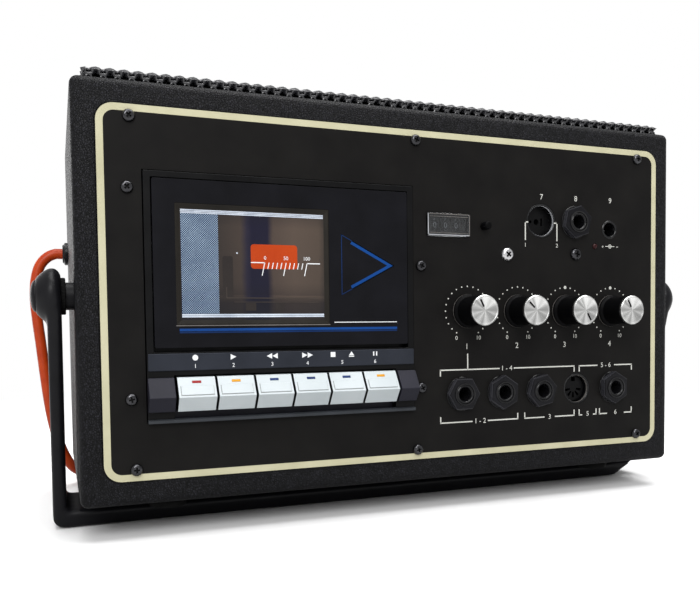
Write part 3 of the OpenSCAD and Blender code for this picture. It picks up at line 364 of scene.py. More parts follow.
ORANGE_INK = moulded("orange_ink", (170, 56, 15), (182, 66, 21), (0.3, 0.42), 0.15, INK_GRAIN)
PANE_SHADE = moulded("pane_shade", (38, 34, 34), (50, 45, 43), (0.12, 0.22), 0.2)
PANE_GLEAM = moulded("pane_gleam", (62, 55, 50), (75, 67, 62), (0.12, 0.22), 0.2)
RED_MARK = moulded("red_mark", (128, 14, 18), (144, 22, 24), (0.3, 0.42), 0.2)
AMBER_MARK = moulded("amber_mark", (196, 134, 10), (208, 148, 18), (0.3, 0.42), 0.2)
BLUE_MARK = moulded("blue_mark", (9, 36, 84), (14, 46, 100), (0.3, 0.42), 0.2)
RUBBER = moulded("rubber", (12, 12, 12), (19, 19, 19), (0.7, 0.9), 0.1, (900, 0.3, 0.1))
REAR_BOARD = moulded("rear_board", (30, 29, 28), (42, 40, 38), (0.6, 0.8), 0.3, (700, 0.4, 0.12), 25)
BLACK_STEEL = moulded("black_steel", (52, 52, 54), (84, 84, 87), (0.12, 0.24), 0.5, (900, 0.1, 0.05), 300, 0.95)
BRIGHT_STEEL = brushed("bright_steel", (196, 196, 198), (236, 236, 238))
PLAIN_STEEL = brushed("plain_steel", (140, 142, 145), (186, 188, 190))
ZINC = brushed("zinc", (150, 152, 158), (190, 192, 197), (0.3, 0.5), (1, 1, 1))
BRASS = brushed("brass", (168, 132, 60), (204, 168, 92))
LAMINATION = brushed("lamination", (70, 66, 60), (112, 106, 96), (0.4, 0.6), (1, 40, 1))
PAPER_CONE = moulded("paper_cone", (26, 26, 28), (40, 40, 42), (0.8, 0.95), 0.5, (500, 0.5, 0.2), 120)
BOARD_GREEN = moulded("board_green", (22, 74, 44), (34, 96, 58), (0.35, 0.5), 0.5, (700, 0.2, 0.1), 200)
WHEEL_BLACK = moulded("wheel_black", (17, 17, 19), (25, 25, 27), (0.4, 0.55), 0.12)
WHEEL_INK = moulded("wheel_ink", (118, 119, 121), (138, 139, 141), (0.4, 0.55), 0.2)
LAMP_RED = moulded("lamp_red", (38, 9, 12), (54, 14, 16), (0.14, 0.24), 0.2, (800, 0.05, 0.03))
HOLDER_BLACK = moulded("holder_black", (26, 26, 28), (38, 38, 40), (0.4, 0.55))
LEAD_ORANGE, SMOKED, HALFTONE, CLEAR = lead_cover(), smoked_pane(), halftone(), clear_block()

# Nodes that keep their own solids.
CAD_FINISH = {
    PANEL_PAINT: ("front_panel",), REAR_BOARD: ("rear_panel",), PAPER_CONE: ("speaker_cone",),
    BOARD_GREEN: ("amplifier_board",), LAMINATION: ("mains_transformer",), HOLDER_BLACK: ("cassette_holder",),
    HANDLE_BLACK: ("pivot_bolts",), ZINC: ("speaker_driver", "control_pots", "drive_motor"),
    PLAIN_STEEL: ("deck_chassis", "tape_head", "key_shaft"), BRASS: ("motor_pulley", "flywheel"),
    RUBBER: ("drive_belt", "pinch_roller"), DEEP_BLACK: ("supply_hub", "takeup_hub", "counter_body"),
}
for finish, node_names in CAD_FINISH.items():
    for node_name in node_names:
        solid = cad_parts[node_name].data
        solid.materials.clear()
        solid.materials.append(finish)


# Shapes

def piece(
    name, bm, paints, stands_for=None, edge=0, steps=2, crease=35, body="recorder", mend=True
):
    """Finishes a drawn shape: faces outwards, place applied, edges softened, body named."""
    if mend:
        bmesh.ops.recalc_face_normals(bm, faces=bm.faces[:])
    bm.transform(PLACE)
    mesh = bpy.data.meshes.new(name)
    bm.to_mesh(mesh)
    bm.free()
    for paint in paints if isinstance(paints, list) else [paints]:
        mesh.materials.append(paint)
    mesh.polygons.foreach_set("use_smooth", [True] * len(mesh.polygons))
    made = put(name, mesh)
    if edge:
        soft = made.modifiers.new("soft_edges", "BEVEL")
        soft.width = edge * MM
        soft.segments = steps
        soft.limit_method = "ANGLE"
        soft.angle_limit = math.radians(crease)
        soft.harden_normals = True
    else:
        mesh.set_sharp_from_angle(angle=math.radians(crease))
    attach(made, body)
    if stands_for:
        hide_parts(stands_for)
    return made


def paint_new(bm, known, index):
    """Paints the faces that weren't there before."""
    for face in bm.faces:
        if face not in known:
            face.material_index = index


def only(kind, parts):
    """The points, edges or faces among what an operator gives back."""
    return [part for part in parts if isinstance(part, kind)]


def everything(bm):
    return bm.verts[:] + bm.edges[:] + bm.faces[:]


def grow(bm, faces, vec):
    """Makes flat faces solid along a direction, and gives back what was added."""
    added = bmesh.ops.extrude_face_region(bm, geom=faces)["geom"]
    bmesh.ops.translate(bm, verts=only(BMVert, added), vec=vec)
    return added


def box(bm, low, high, turn=None, about=None):
    """A box between two corners, turned about a point where that is given."""
    low, high = Vector(low), Vector(high)
    matrix = Matrix.Translation((low + high) / 2) @ Matrix.Diagonal((*(high - low), 1))
    if turn is not None:
        spot = Vector(about)
        matrix = Matrix.Translation(spot) @ turn @ Matrix.Translation(-spot) @ matrix
    bmesh.ops.create_cube(bm, size=1, matrix=matrix)


def take_face(bm, face):
    """Takes a face away and gives back its edges."""
    edges = face.edges[:]
    bmesh.ops.delete(bm, geom=[face], context="FACES_ONLY")
    return edges


def corner_loop(bm, y, corners, r=0, steps=4):
    """A closed loop of edges through corners in X and Z, rounded where r is given."""
    known = set(bm.faces)
    verts = [bm.verts.new((x, y, z)) for x, z in corners]
    bm.faces.new(verts)
    if r:
        bmesh.ops.bevel(bm, geom=verts, offset=r, segments=steps, profile=0.5, affect="VERTICES", material=-1)
    return take_face(bm, next(f for f in bm.faces if f not in known))


def rect_loop(bm, y, x, z, w, h, r=0, steps=6):
    """A rectangle about its middle."""
    w, h = w / 2, h / 2
    return corner_loop(bm, y, [(x - w, z - h), (x + w, z - h), (x + w, z + h), (x - w, z + h)], r, steps)


def span_loop(bm, y, x0, z0, x1, z1):
    """A rectangle between two corners."""
    return rect_loop(bm, y, (x0 + x1) / 2, (z0 + z1) / 2, x1 - x0, z1 - z0)


def circle(bm, matrix, r, steps):
    verts = bmesh.ops.create_circle(bm, cap_ends=False, radius=r, segments=steps, matrix=matrix)["verts"]
    return list({e for v in verts for e in v.link_edges})


def round_loop(bm, y, x, z, r, steps=48):
    return circle(bm, Matrix.Translation((x, y, z)) @ Matrix.Rotation(math.pi / 2, 4, "X"), r, steps)


def fill(bm, *loops):
    """A flat face inside the first loop, with the others as holes."""
    if len(loops) == 1:
        return bmesh.ops.contextual_create(bm, geom=loops[0])["faces"]
    edges = [e for loop in loops for e in loop]
    return only(BMFace, bmesh.ops.triangle_fill(bm, edges=edges, use_beauty=True, use_dissolve=False)["geom"])


def plate(bm, y1, *loops):
    """A plate whose outline is drawn by the loops, made solid as far as the depth y1."""
    faces = fill(bm, *loops)
    grow(bm, faces, (0, y1 - faces[0].verts[0].co.y, 0))


def bar_along_x(bm, x0, x1, outline):
    """An outline in Y and Z, made solid from x0 to x1."""
    grow(bm, [bm.faces.new([bm.verts.new((x0, y, z)) for y, z in outline])], (x1 - x0, 0, 0))


def turned(bm, profile, spot, axis="Y", steps=48):
    """A turned shape: radius and distance along the axis, from the spot, spun a full turn."""
    along = Vector((axis == "X", axis == "Y", axis == "Z"))
    out = Vector((0, 0, 1)) if axis != "Z" else Vector((1, 0, 0))
    spot = Vector(spot)
    known = set(bm.verts)
    verts = [bm.verts.new(spot + out * r + along * d) for r, d in profile]
    edges = [bm.edges.new(pair) for pair in zip(verts, verts[1:])]
    bmesh.ops.spin(
        bm, geom=verts + edges, cent=spot, axis=along, angle=2 * math.pi, steps=steps, use_merge=True
    )
    bmesh.ops.remove_doubles(bm, verts=[v for v in bm.verts if v not in known], dist=0.0005)


def turned_ends(bm, profile, spot, steps):
    """The same turned shape at the left and at the right, along X."""
    for way in (-1, 1):
        turned(bm, [(r, way * d) for r, d in profile], spot, "X", steps)


def ribbed(bm, middle, axis, beyond, teeth, depth):
    """Draws in every other point of a rim about the X axis (0) or the Y axis (1)."""
    for v in bm.verts:
        out = v.co - Vector(middle)
        out[axis] = 0
        if out.length > beyond:
            tooth = round(math.atan2(out[1 - axis], out.z) / math.pi * teeth) % 2
            v.co -= out.normalized() * depth * tooth


def lettering(bm, words, size, x, z, y, depth=0.05):
    """Plain numbers, flat on a face that looks along -Y."""
    curve = bpy.data.curves.new("numbers", "FONT")
    curve.body = words
    curve.size = size
    curve.extrude = depth / 2
    curve.align_x = curve.align_y = "CENTER"
    curve.resolution_u = 3
    holder = put("numbers", curve)
    mesh = bpy.data.meshes.new_from_object(holder.evaluated_get(bpy.context.evaluated_depsgraph_get()))
    mesh.transform(Matrix.Translation((x, y, z)) @ Matrix.Rotation(math.pi / 2, 4, "X"))
    bm.from_mesh(mesh)
    bpy.data.objects.remove(holder)
    bpy.data.meshes.remove(mesh)
    bpy.data.curves.remove(curve)


# Print, and the painted highlights and shadows drawn the same way, stand this far off their face, and reach a
# little into it.
INK, INK_ROOT = 0.06, 0.02


def ink_bar(bm, y, x0, z0, x1, z1):
    """A thin bar on a face at the depth y, used for print and for painted highlights and shadows."""
    box(bm, (min(x0, x1), y - INK, min(z0, z1)), (max(x0, x1), y + INK_ROOT, max(z0, z1)))


def ink_shape(bm, y, corners, r=0):
    plate(bm, y - INK, corner_loop(bm, y + INK_ROOT, corners, r))


def ink_dot(bm, y, x, z, r, steps=12):
    plate(bm, y - INK, round_loop(bm, y + INK_ROOT, x, z, r, steps))


# Mains lead: one cord from its bush to its plug, with the spare length coiled behind the cabinet.

LEAD_D, BUSH_STUB = 5.8, 3.5
COIL_X, COIL_Y, COIL_R, COIL_STEP, COIL_BASE = -72, 208, 47.55, 6.6, 4.3
COIL_IN, COIL_BACK, COIL_TURNS, COIL_TAIL = 3.5, 3.75, 7.25, 38
TURN_POINTS, RUN_IN_R, RUN_IN_LEAD = 48, 40, 6
ABOVE_FLOOR = (
    (-166.2, 130, 132), (-170.4, 130, 127.2), (-172.8, 130, 119), (-173.4, 130, 109), (-172.6, 130, 97),
    (-171.2, 130, 84), (-169.8, 130, 70), (-168.3, 130, 56), (-166.6, 131, 43), (-164.2, 133, 31),
    (-161, 136.5, 20.5), (-156.6, 142, 11.5), (-150.8, 148.5, 6.5), (-143.5, 156, 4.5),
)


def smooth_route(points, parts):
    """Points on a smooth curve through the given ones."""
    route = []
    last = len(points) - 1
    for i in range(last):
        a, b, c, d = points[max(i - 1, 0)], points[i], points[i + 1], points[min(i + 2, last)]
        for k in range(parts):
            t = k / parts
            bend = 2 * a - 5 * b + 4 * c - d + t * (3 * (b - c) + d - a)
            route.append(b + 0.5 * t * (c - a + t * bend))
    return route + [points[last]]


def coil_spot(t):
    """The coil after t turns: inwards on the floor, then back out on top."""
    r = COIL_R - COIL_STEP * (COIL_BACK - abs(t - COIL_BACK))
    climb = min(max((t - COIL_IN) / 0.5, 0), 1)
    lift = COIL_STEP * (1 - math.cos(math.pi * climb)) / 2
    angle = math.pi - 2 * math.pi * t
    return Vector((COIL_X + r * math.cos(angle), COIL_Y + r * math.sin(angle), FLOOR_Z + COIL_BASE + lift))


coil_start = Vector((COIL_X - COIL_R, COIL_Y - LEAD_D, FLOOR_Z + COIL_BASE))
lead_points = [LEAD_EXIT - Vector((BUSH_STUB, 0, 0))]
lead_points += [Vector((x, y, z + FLOOR_Z)) for x, y, z in ABOVE_FLOOR]
for degrees in (45, 22.5, 0):
    a = math.radians(degrees)
    run_in = Vector((RUN_IN_R * (1 - math.cos(a)), RUN_IN_LEAD + RUN_IN_R * math.sin(a), 0))
    lead_points.append(coil_start - run_in)
coil_points = [coil_spot(min(k / TURN_POINTS, COIL_TURNS)) for k in range(int(COIL_TURNS * TURN_POINTS) + 1)]
lead_end = coil_points[-1] + Vector((COIL_TAIL, 0, 0))
lead_route = [LEAD_EXIT] + smooth_route(lead_points, 4) + [coil_start] + coil_points
lead_route += [coil_points[-1] + Vector((LEAD_D, 0, 0)), lead_end]

cord_line = bpy.data.curves.new("mains_cord", "CURVE")
cord_line.dimensions = "3D"
cord_line.bevel_depth = LEAD_D / 2 * MM
cord_line.bevel_resolution = 4
cord_line.use_fill_caps = True
strand = cord_line.splines.new("POLY")
strand.points.add(len(lead_route) - 1)
for point, spot in zip(strand.points, lead_route):
    point.co = (*(PLACE @ spot), 1)
strand.use_smooth = True
cord_line.materials.append(LEAD_ORANGE)
mains_cord = put("mains_cord", cord_line)
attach(mains_cord, "recorder")
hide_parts("mains_lead", "lead_coil")


def coil_tie():
    """A moulded strap round the coil's turns."""
    wide, top, wall, width = 28.7, 14.2, 1, 6
    x, z = 36 - COIL_STEP * 0.4, (top + wall) / 2
    bm = bmesh.new()
    outer = rect_loop(bm, -width / 2, x, z, wide + 2 * wall, top + wall, 2.4, 5)
    inner = rect_loop(bm, -width / 2, x, z, wide, top - wall, 1.6, 5)
    plate(bm, width / 2, outer, inner)
    bm.transform(Matrix.Translation((COIL_X, COIL_Y, FLOOR_Z)) @ Matrix.Rotation(math.radians(-35), 4, "Z"))
    return piece("coil_strap", bm, RUBBER, "coil_tie", 0.3)


def mains_plug():
    """A moulded three pin plug on its back: ribbed grip, waisted body and three pins."""
    grip, length, half, thick = 16, 48, 23, 21
    x, y = lead_end.x, lead_end.y
    bm = bmesh.new()
    ribs = [(0, 0), (2.95, 0)]
    for k in range(5):
        ribs += [(4.9, 0.3 + 3 * k), (4.9, 2 + 3 * k), (4.1, 2.2 + 3 * k), (4.1, 3.1 + 3 * k)]
    turned(bm, ribs + [(4.9, grip), (0, grip)], lead_end, "X", 24)
    corners = [(0, -9), (9, -half), (length, 4 - half), (length, half - 4), (9, half), (0, 9)]
    back = bm.faces.new([bm.verts.new((x + grip - 2 + a, y + b, FLOOR_Z)) for a, b in corners])
    lid = only(BMFace, grow(bm, [back], (0, 0, thick)))
    bmesh.ops.inset_region(bm, faces=lid, thickness=2.2, depth=0)
    bmesh.ops.inset_region(bm, faces=lid, thickness=0.4, depth=-0.7)
    known = set(bm.faces)
    low, x = FLOOR_Z + thick - 1, x + grip
    pins = ((12, 16, -11.1, 3.2, 18.7), (12, 16, 11.1, 3.2, 18.7), (34, 42, 0, 2, 23.7))
    for near, far, middle, wide, tall in pins:
        box(bm, (x + near, y + middle - wide, low), (x + far, y + middle + wide, low + tall))
    paint_new(bm, known, 1)
    return piece("plug", bm, [DEEP_BLACK, BRASS], "mains_plug", 0.9, 3)


strap = coil_tie()
plug = mains_plug()


# Cabinet, grille and feet

OPENING_X, OPENING_Y, OPENING_R = 62, 82, 43
VENT_LEFT, VENT_RIGHT, VENT_HALF, VENT_Y, SCREEN_T = 33, 107, 33, 143.9, 0.8
FOOT_X, FRONT_FOOT_Y, BACK_FOOT_Y, FRONT_FOOT_H = 117.5, 18, 132, 4.5


def cabinet_cover():
    """The covered cabinet: rounded edges, recesses for the panels, and the loudspeaker's opening."""
    wall, rear, frame_deep, seat_gap = 9, 134, 10, 0.6
    frame_w, frame_h = PANEL_W - 16, PANEL_H - 16
    seat_w, seat_h = PANEL_W + seat_gap, PANEL_H + seat_gap
    bm = bmesh.new()
    box(bm, (-CASE_W / 2, 0, -CASE_H / 2), (CASE_W / 2, CASE_D, CASE_H / 2))
    bmesh.ops.bevel(bm, geom=bm.edges[:], offset=3.5, segments=6, profile=0.5, affect="EDGES", material=-1)

    def side(test):
        broad = (f for f in bm.faces if f.calc_area() > 5000)
        return take_face(bm, next(f for f in broad if test(f.calc_center_median())))

    front = side(lambda middle: middle.y < 0.1)
    back = side(lambda middle: middle.y > CASE_D - 0.1)
    top = side(lambda middle: middle.z > CASE_H / 2 - 0.1)

    def tunnel(y0, y1, w, h, r=0):
        first, second = (rect_loop(bm, y, 0, 0, w, h, r) for y in (y0, y1))
        return first, second, bmesh.ops.bridge_loops(bm, edges=first + second)["faces"]

    seat_out, seat_in, _ = tunnel(0, 1, seat_w, seat_h, 7.9)
    frame_out, frame_in, _ = tunnel(1, frame_deep, frame_w, frame_h)
    room_out, room_in, room = tunnel(frame_deep, rear, CASE_W - 2 * wall, CASE_H - 2 * wall)
    rear_out, rear_in, _ = tunnel(rear, rear + frame_deep, frame_w, frame_h)
    rest_out, rest_in, _ = tunnel(rear + frame_deep, CASE_D, seat_w, seat_h)
    for outer, inner in (
        (front, seat_out), (seat_in, frame_out), (room_out, frame_in), (room_in, rear_out),
        (rest_out, rear_in), (back, rest_in),
    ):
        fill(bm, outer, inner)
    ceiling = take_face(bm, next(f for f in room if f.calc_center_median().z > 50))
    rims = [
        circle(bm, Matrix.Translation((OPENING_X, OPENING_Y, z)), OPENING_R, 64)
        for z in (CASE_H / 2, CASE_H / 2 - wall)
    ]
    fill(bm, top, rims[0])
    fill(bm, ceiling, rims[1])
    bmesh.ops.bridge_loops(bm, edges=rims[0] + rims[1])
    piece("cabinet_cover", bm, LEATHERCLOTH, "cabinet", crease=50)


def grille_mesh():
    """Expanded metal: a lattice of strands, each leaning a little, with its edges turned down."""
    w, d, skirt, strand, drop = CASE_W - 9, CASE_D - 9, 5.2, 1.2, 0.6
    cols, rows, opening, lean = 54, 29, 0.3, 0.5
    half_x, half_y = w / 2 + skirt, d / 2 + skirt
    pitch_x, pitch_y = 2 * half_x / cols, 2 * half_y / rows
    count = cols + rows
    bm = bmesh.new()
    bmesh.ops.create_grid(bm, x_segments=count, y_segments=count, size=count / 2)
    shear = Matrix((
        (pitch_x / 2, -pitch_x / 2, 0, 0), (pitch_y / 2, pitch_y / 2, 0, 0), (0, 0, 1, 0), (0, 0, 0, 1)
    ))
    bmesh.ops.transform(bm, matrix=shear, verts=bm.verts[:])
    for spot in ((half_x, 0, 0), (-half_x, 0, 0), (0, half_y, 0), (0, -half_y, 0)):
        bmesh.ops.bisect_plane(
            bm, geom=everything(bm), plane_co=spot, plane_no=Vector(spot).normalized(), clear_outer=True
        )
    middles = {f: f.calc_center_median() for f in bm.faces}
    corners = [f for f, spot in middles.items() if abs(spot.x) > w / 2 and abs(spot.y) > d / 2]
    bmesh.ops.delete(bm, geom=corners, context="FACES")
    bmesh.ops.bisect_edges(bm, edges=bm.edges[:], cuts=1)
    openings = bm.faces[:]
    whole = {f: f.calc_area() > 0.45 * pitch_x * pitch_y for f in openings}
    middles = {f: f.calc_center_median() for f in openings}
    bmesh.ops.inset_individual(bm, faces=openings, thickness=0.6, depth=0)
    for face in openings:
        for v in face.verts:
            out = v.co - middles[face]
            if whole[face]:
                a = math.atan2(out.y / pitch_y, out.x / pitch_x)
                v.co = middles[face] + opening * Vector((pitch_x * math.cos(a), pitch_y * math.sin(a), 0))
            v.co.z -= lean * max(-1, min(1, out.y / pitch_y * 4))
    bmesh.ops.delete(bm, geom=openings, context="FACES")
    for v in bm.verts:
        rise, x, y = v.co.z, v.co.x, v.co.y
        over_x, over_y = max(0, abs(x) - w / 2), max(0, abs(y) - d / 2)
        v.co.x = math.copysign(min(abs(x), w / 2) - (strand + drop - rise if over_x else 0), x)
        v.co.y = math.copysign(min(abs(y), d / 2) - (strand + drop - rise if over_y else 0), y)
        v.co.z = -strand - (over_x + over_y) * (1 - strand / skirt) + (0 if over_x or over_y else rise - drop)
    bmesh.ops.translate(bm, verts=bm.verts[:], vec=(0, CASE_D / 2, CASE_H / 2 + skirt))
    bmesh.ops.recalc_face_normals(bm, faces=bm.faces[:])
    bm.normal_update()
    if sum(f.normal.z for f in bm.faces) < 0:
        bmesh.ops.reverse_faces(bm, faces=bm.faces[:])
    made = piece(
        "grille_mesh", bm, GRILLE_ENAMEL, "speaker_grille", crease=50, mend=False
    )
    thick = made.modifiers.new("strand_thickness", "SOLIDIFY")
    thick.thickness = strand * MM
    thick.offset = 1
    inset = strand + 1.1
    lining_w, lining_d, middle = w / 2 - inset, d / 2 - inset, CASE_D / 2
    for name, low, high, edge in (
        ("grille_lining", (-lining_w, middle - lining_d, CASE_H / 2),
         (lining_w, middle + lining_d, CASE_H / 2 + skirt - inset), 0.3),
        ("vent_screen", (VENT_LEFT, VENT_Y - SCREEN_T, -VENT_HALF), (VENT_RIGHT, VENT_Y, VENT_HALF), 0.2),
    ):
        bm = bmesh.new()
        box(bm, low, high)
        piece(name, bm, GRILLE_CLOTH, edge=edge)


def feet():
    tall = -FLOOR_Z - CASE_H / 2
    front = [(0, 0), (8, 0), (9, FRONT_FOOT_H - 0.3), (9, FRONT_FOOT_H), (0, FRONT_FOOT_H)]
    back = [(0, 0.5), (3.2, 0.5), (3.6, 0), (8.3, 0), (9, 0.8), (11, tall), (0, tall)]
    bm = bmesh.new()
    for side in (-1, 1):
        turned(bm, front, (side * FOOT_X, FRONT_FOOT_Y, -CASE_H / 2 - FRONT_FOOT_H), "Z", 40)
        turned(bm, back, (side * FOOT_X, BACK_FOOT_Y, FLOOR_Z), "Z", 40)
    piece("feet", bm, RUBBER, "rubber_feet", 0.4)


cabinet_cover()
grille_mesh()
feet()


# Print on the front panel

BRACKET_UP, BRACKET_LOW = -36.3, -62.4
SIGN_X, SIGN_Z = 115, 27.1
# Left, right, height, length of the ends, and the gap for a number.
BRACKETS = (
    (12.4, 92.3, BRACKET_UP, -3, (46.4, 54.8)), (94.9, 130, BRACKET_UP, -3, (107, 118)),
    (12.4, 57.4, BRACKET_LOW, 3, (30.6, 39.4)), (61, 92.3, BRACKET_LOW, 3, (73.4, 79.8)),
    (94.9, 106.5, BRACKET_LOW, 3, (97.2, 104.2)), (108.1, 130, BRACKET_LOW, 3, (113.4, 124.7)),
)
NUMBERS = (
    ("1", 4, 27.6, -24.9), ("2", 4, 56.7, -24.9), ("3", 4, 85.9, -24.9), ("4", 4, 114.9, -24.9),
    ("1 - 4", 3.6, 50.6, BRACKET_UP), ("5 - 6", 3.6, 112.5, BRACKET_UP), ("1 - 2", 3.6, 35, BRACKET_LOW),
    ("3", 3.6, 76.6, BRACKET_LOW), ("5", 3.6, 100.7, -62), ("6", 3.6, 119, -62), ("7", 4, 71.6, 51.1),
    ("8", 4, 92.9, 51.2), ("9", 4, 115, 51.2), ("1", 2.8, 61.9, 26.4), ("2", 2.8, 81.1, 26.5),
)


def panel_print():
    """Cream border, bracket lines, dial dots and plain numbers."""
    y = PANEL_FACE
    root = y + INK_ROOT
    bm = bmesh.new()
    plate(bm, y - INK, *[
        rect_loop(bm, root, 0, 0, PANEL_W - less, PANEL_H - less, r, 10) for less, r in ((0.5, 7.4), (6.4, 4.6))
    ])
    piece("panel_border", bm, CREAM_INK, crease=50)

    bm = bmesh.new()
    half = 0.31
    for x0, x1, z, drop, gap in BRACKETS:
        for a, b in ((x0, gap[0]), (gap[1], x1)):
            ink_bar(bm, y, a, z - half, b, z + half)
        for x in (x0 + half, x1 - half):
            ink_bar(bm, y, x - half, z, x + half, z + drop)
    ink_bar(bm, y, DIAL_X - half, -28.4, DIAL_X + half, BRACKET_UP)
    for x, foot in ((61.85, 1.7), (81.1, -1.9)):
        ink_bar(bm, y, x - half, 38.4, x + half, 28.9)
        ink_bar(bm, y, x - math.copysign(half, foot), 38.4, x + foot, 37.8)
    ring, dots, first, step = 12.3, 21, -150, 15
    for n in range(4):
        x = DIAL_X + n * DIAL_PITCH
        for k in range(dots):
            a = math.radians(first + step * k)
            big = n > 1 and k == dots // 2
            ink_dot(bm, y, x + ring * math.sin(a), DIAL_Z + ring * math.cos(a), 0.85 if big else 0.36)
        for number, side in (("0", -1), ("10", 1)):
            lettering(bm, number, 2.9, x + side * 6.2, DIAL_Z - 13.3, y)
    for number, size, x, z in NUMBERS:
        lettering(bm, number, size, x, z, y)
    # The sign for direct current: a point in a ring, between minus and plus.
    x, z = SIGN_X, SIGN_Z
    plate(bm, y - INK, *[round_loop(bm, root, x, z, r, 24) for r in (1.05, 0.72)])
    ink_dot(bm, y, x, z, 0.42)
    for side in (-1, 1):
        ink_bar(bm, y, x + side, z - 0.15, x + side * 3, z + 0.15)
        ink_bar(bm, y, x + side * 4.2, z - 0.35, x + side * 5.3, z - 0.05)
    ink_bar(bm, y, x - 4.9, z - 0.75, x - 4.6, z + 0.35)
    piece("panel_marks", bm, PRINT_INK, crease=50)


panel_print()


# Screws

DECK_SCREW_L, DECK_SCREW_R = -133.9, 2.4
PANEL_SCREWS = [(x, z) for x in (-132.5, 0, 132.5) for z in (-74.4, 74.4)]
PANEL_SCREWS += [(DECK_SCREW_L, 44.8), (DECK_SCREW_L, -44.4), (DECK_SCREW_R, 14.6), (DECK_SCREW_R, -44.4)]
REAR_SCREWS = [(x, z) for x in (-140, 0, 140) for z in (-75.5, 75.5)]
REAR_FACE = 148
# Two larger screws under the upper sockets: place, turn, size and paint.
SOCKET_SCREW, BRIGHT_SCREW = (92.7, 22.4, 10, 1.2, 0), (50.9, 21.3, 40, 1.26, 1)


def pan_head(bm, x, z, y, turn, size=1, paint=0, rear=False):
    """A pan head with a cross recess, sitting on the depth y and looking to the front or the rear."""
    known, faces = set(bm.verts), set(bm.faces)
    high, arm, slot = -1.85, 1.25, 0.38
    crown = round_loop(bm, high, 0, 0, 1.65, 24)
    cross = corner_loop(bm, high, [
        (slot, slot), (arm, slot), (arm, -slot), (slot, -slot), (slot, -arm), (-slot, -arm),
        (-slot, -slot), (-arm, -slot), (-arm, slot), (-slot, slot), (-slot, arm), (slot, arm),
    ])
    fill(bm, crown, cross)
    top = set(bm.faces)
    sunk = bmesh.ops.extrude_edge_only(bm, edges=cross)["geom"]
    bmesh.ops.translate(bm, verts=only(BMVert, sunk), vec=(0, 1, 0))
    fill(bm, only(BMEdge, sunk))
    recess = [f for f in bm.faces if f not in top]
    rim = crown
    for wider, back in ((1.28, 0.25), (1.2, 0.55), (1.06, 0.5), (1, 0.55)):
        step = bmesh.ops.extrude_edge_only(bm, edges=rim)["geom"]
        bmesh.ops.scale(bm, verts=only(BMVert, step), vec=(wider, 1, wider))
        bmesh.ops.translate(bm, verts=only(BMVert, step), vec=(0, back, 0))
        rim = only(BMEdge, step)
    fill(bm, rim)
    paint_new(bm, faces, paint)
    # The cross recess is painted deep black: painted shade in the hollow.
    for f in recess:
        f.material_index = 2
    place = Matrix.Translation((x, y, z)) @ Matrix.Rotation(math.radians(turn), 4, "Y")
    place = place @ Matrix.Diagonal((size, 1, size, 1))
    if rear:
        place = place @ Matrix.Rotation(math.pi, 4, "Z")
    bmesh.ops.transform(bm, matrix=place, verts=[v for v in bm.verts if v not in known])


def screws():
    bm = bmesh.new()
    for n, (x, z) in enumerate(PANEL_SCREWS):
        pan_head(bm, x, z, PANEL_FACE, 37 * n % 90)
    pan_head(bm, *SOCKET_SCREW[:2], PANEL_FACE, *SOCKET_SCREW[2:])
    for n, (x, z) in enumerate(REAR_SCREWS):
        pan_head(bm, x, z, REAR_FACE, 53 * n % 90, rear=True)
    pan_head(bm, *BRIGHT_SCREW[:2], PANEL_FACE, *BRIGHT_SCREW[2:])
    piece("screws", bm, [BLACK_STEEL, BRIGHT_STEEL, DEEP_BLACK], "case_screws", crease=40)


screws()


# Tape deck: frame, strip, flanks and lip

KEY_LEFT = KEY_X0 - KEY_PITCH / 2 - 0.4
KEY_RIGHT = KEY_X0 + 5.5 * KEY_PITCH + 0.4
KEY_TOP, KEY_FOOT, KEY_NOSE = KEY_MID + KEY_H / 2, KEY_MID - KEY_H / 2, KEY_MID - KEY_H * 0.07
KEY_CREST_Y, KEY_NOSE_Y, KEY_FOOT_Y = DECK_FACE - 1.5, DECK_FACE - 7, DECK_FACE - 2.5


def key_profile(back):
    """A key from its side, in Y and Z: the slope down to the nose, and the foot drawn in below it."""
    return [
        (back, KEY_TOP), (KEY_CREST_Y, KEY_TOP), (KEY_NOSE_Y, KEY_NOSE), (KEY_FOOT_Y, KEY_FOOT),
        (back, KEY_FOOT),
    ]


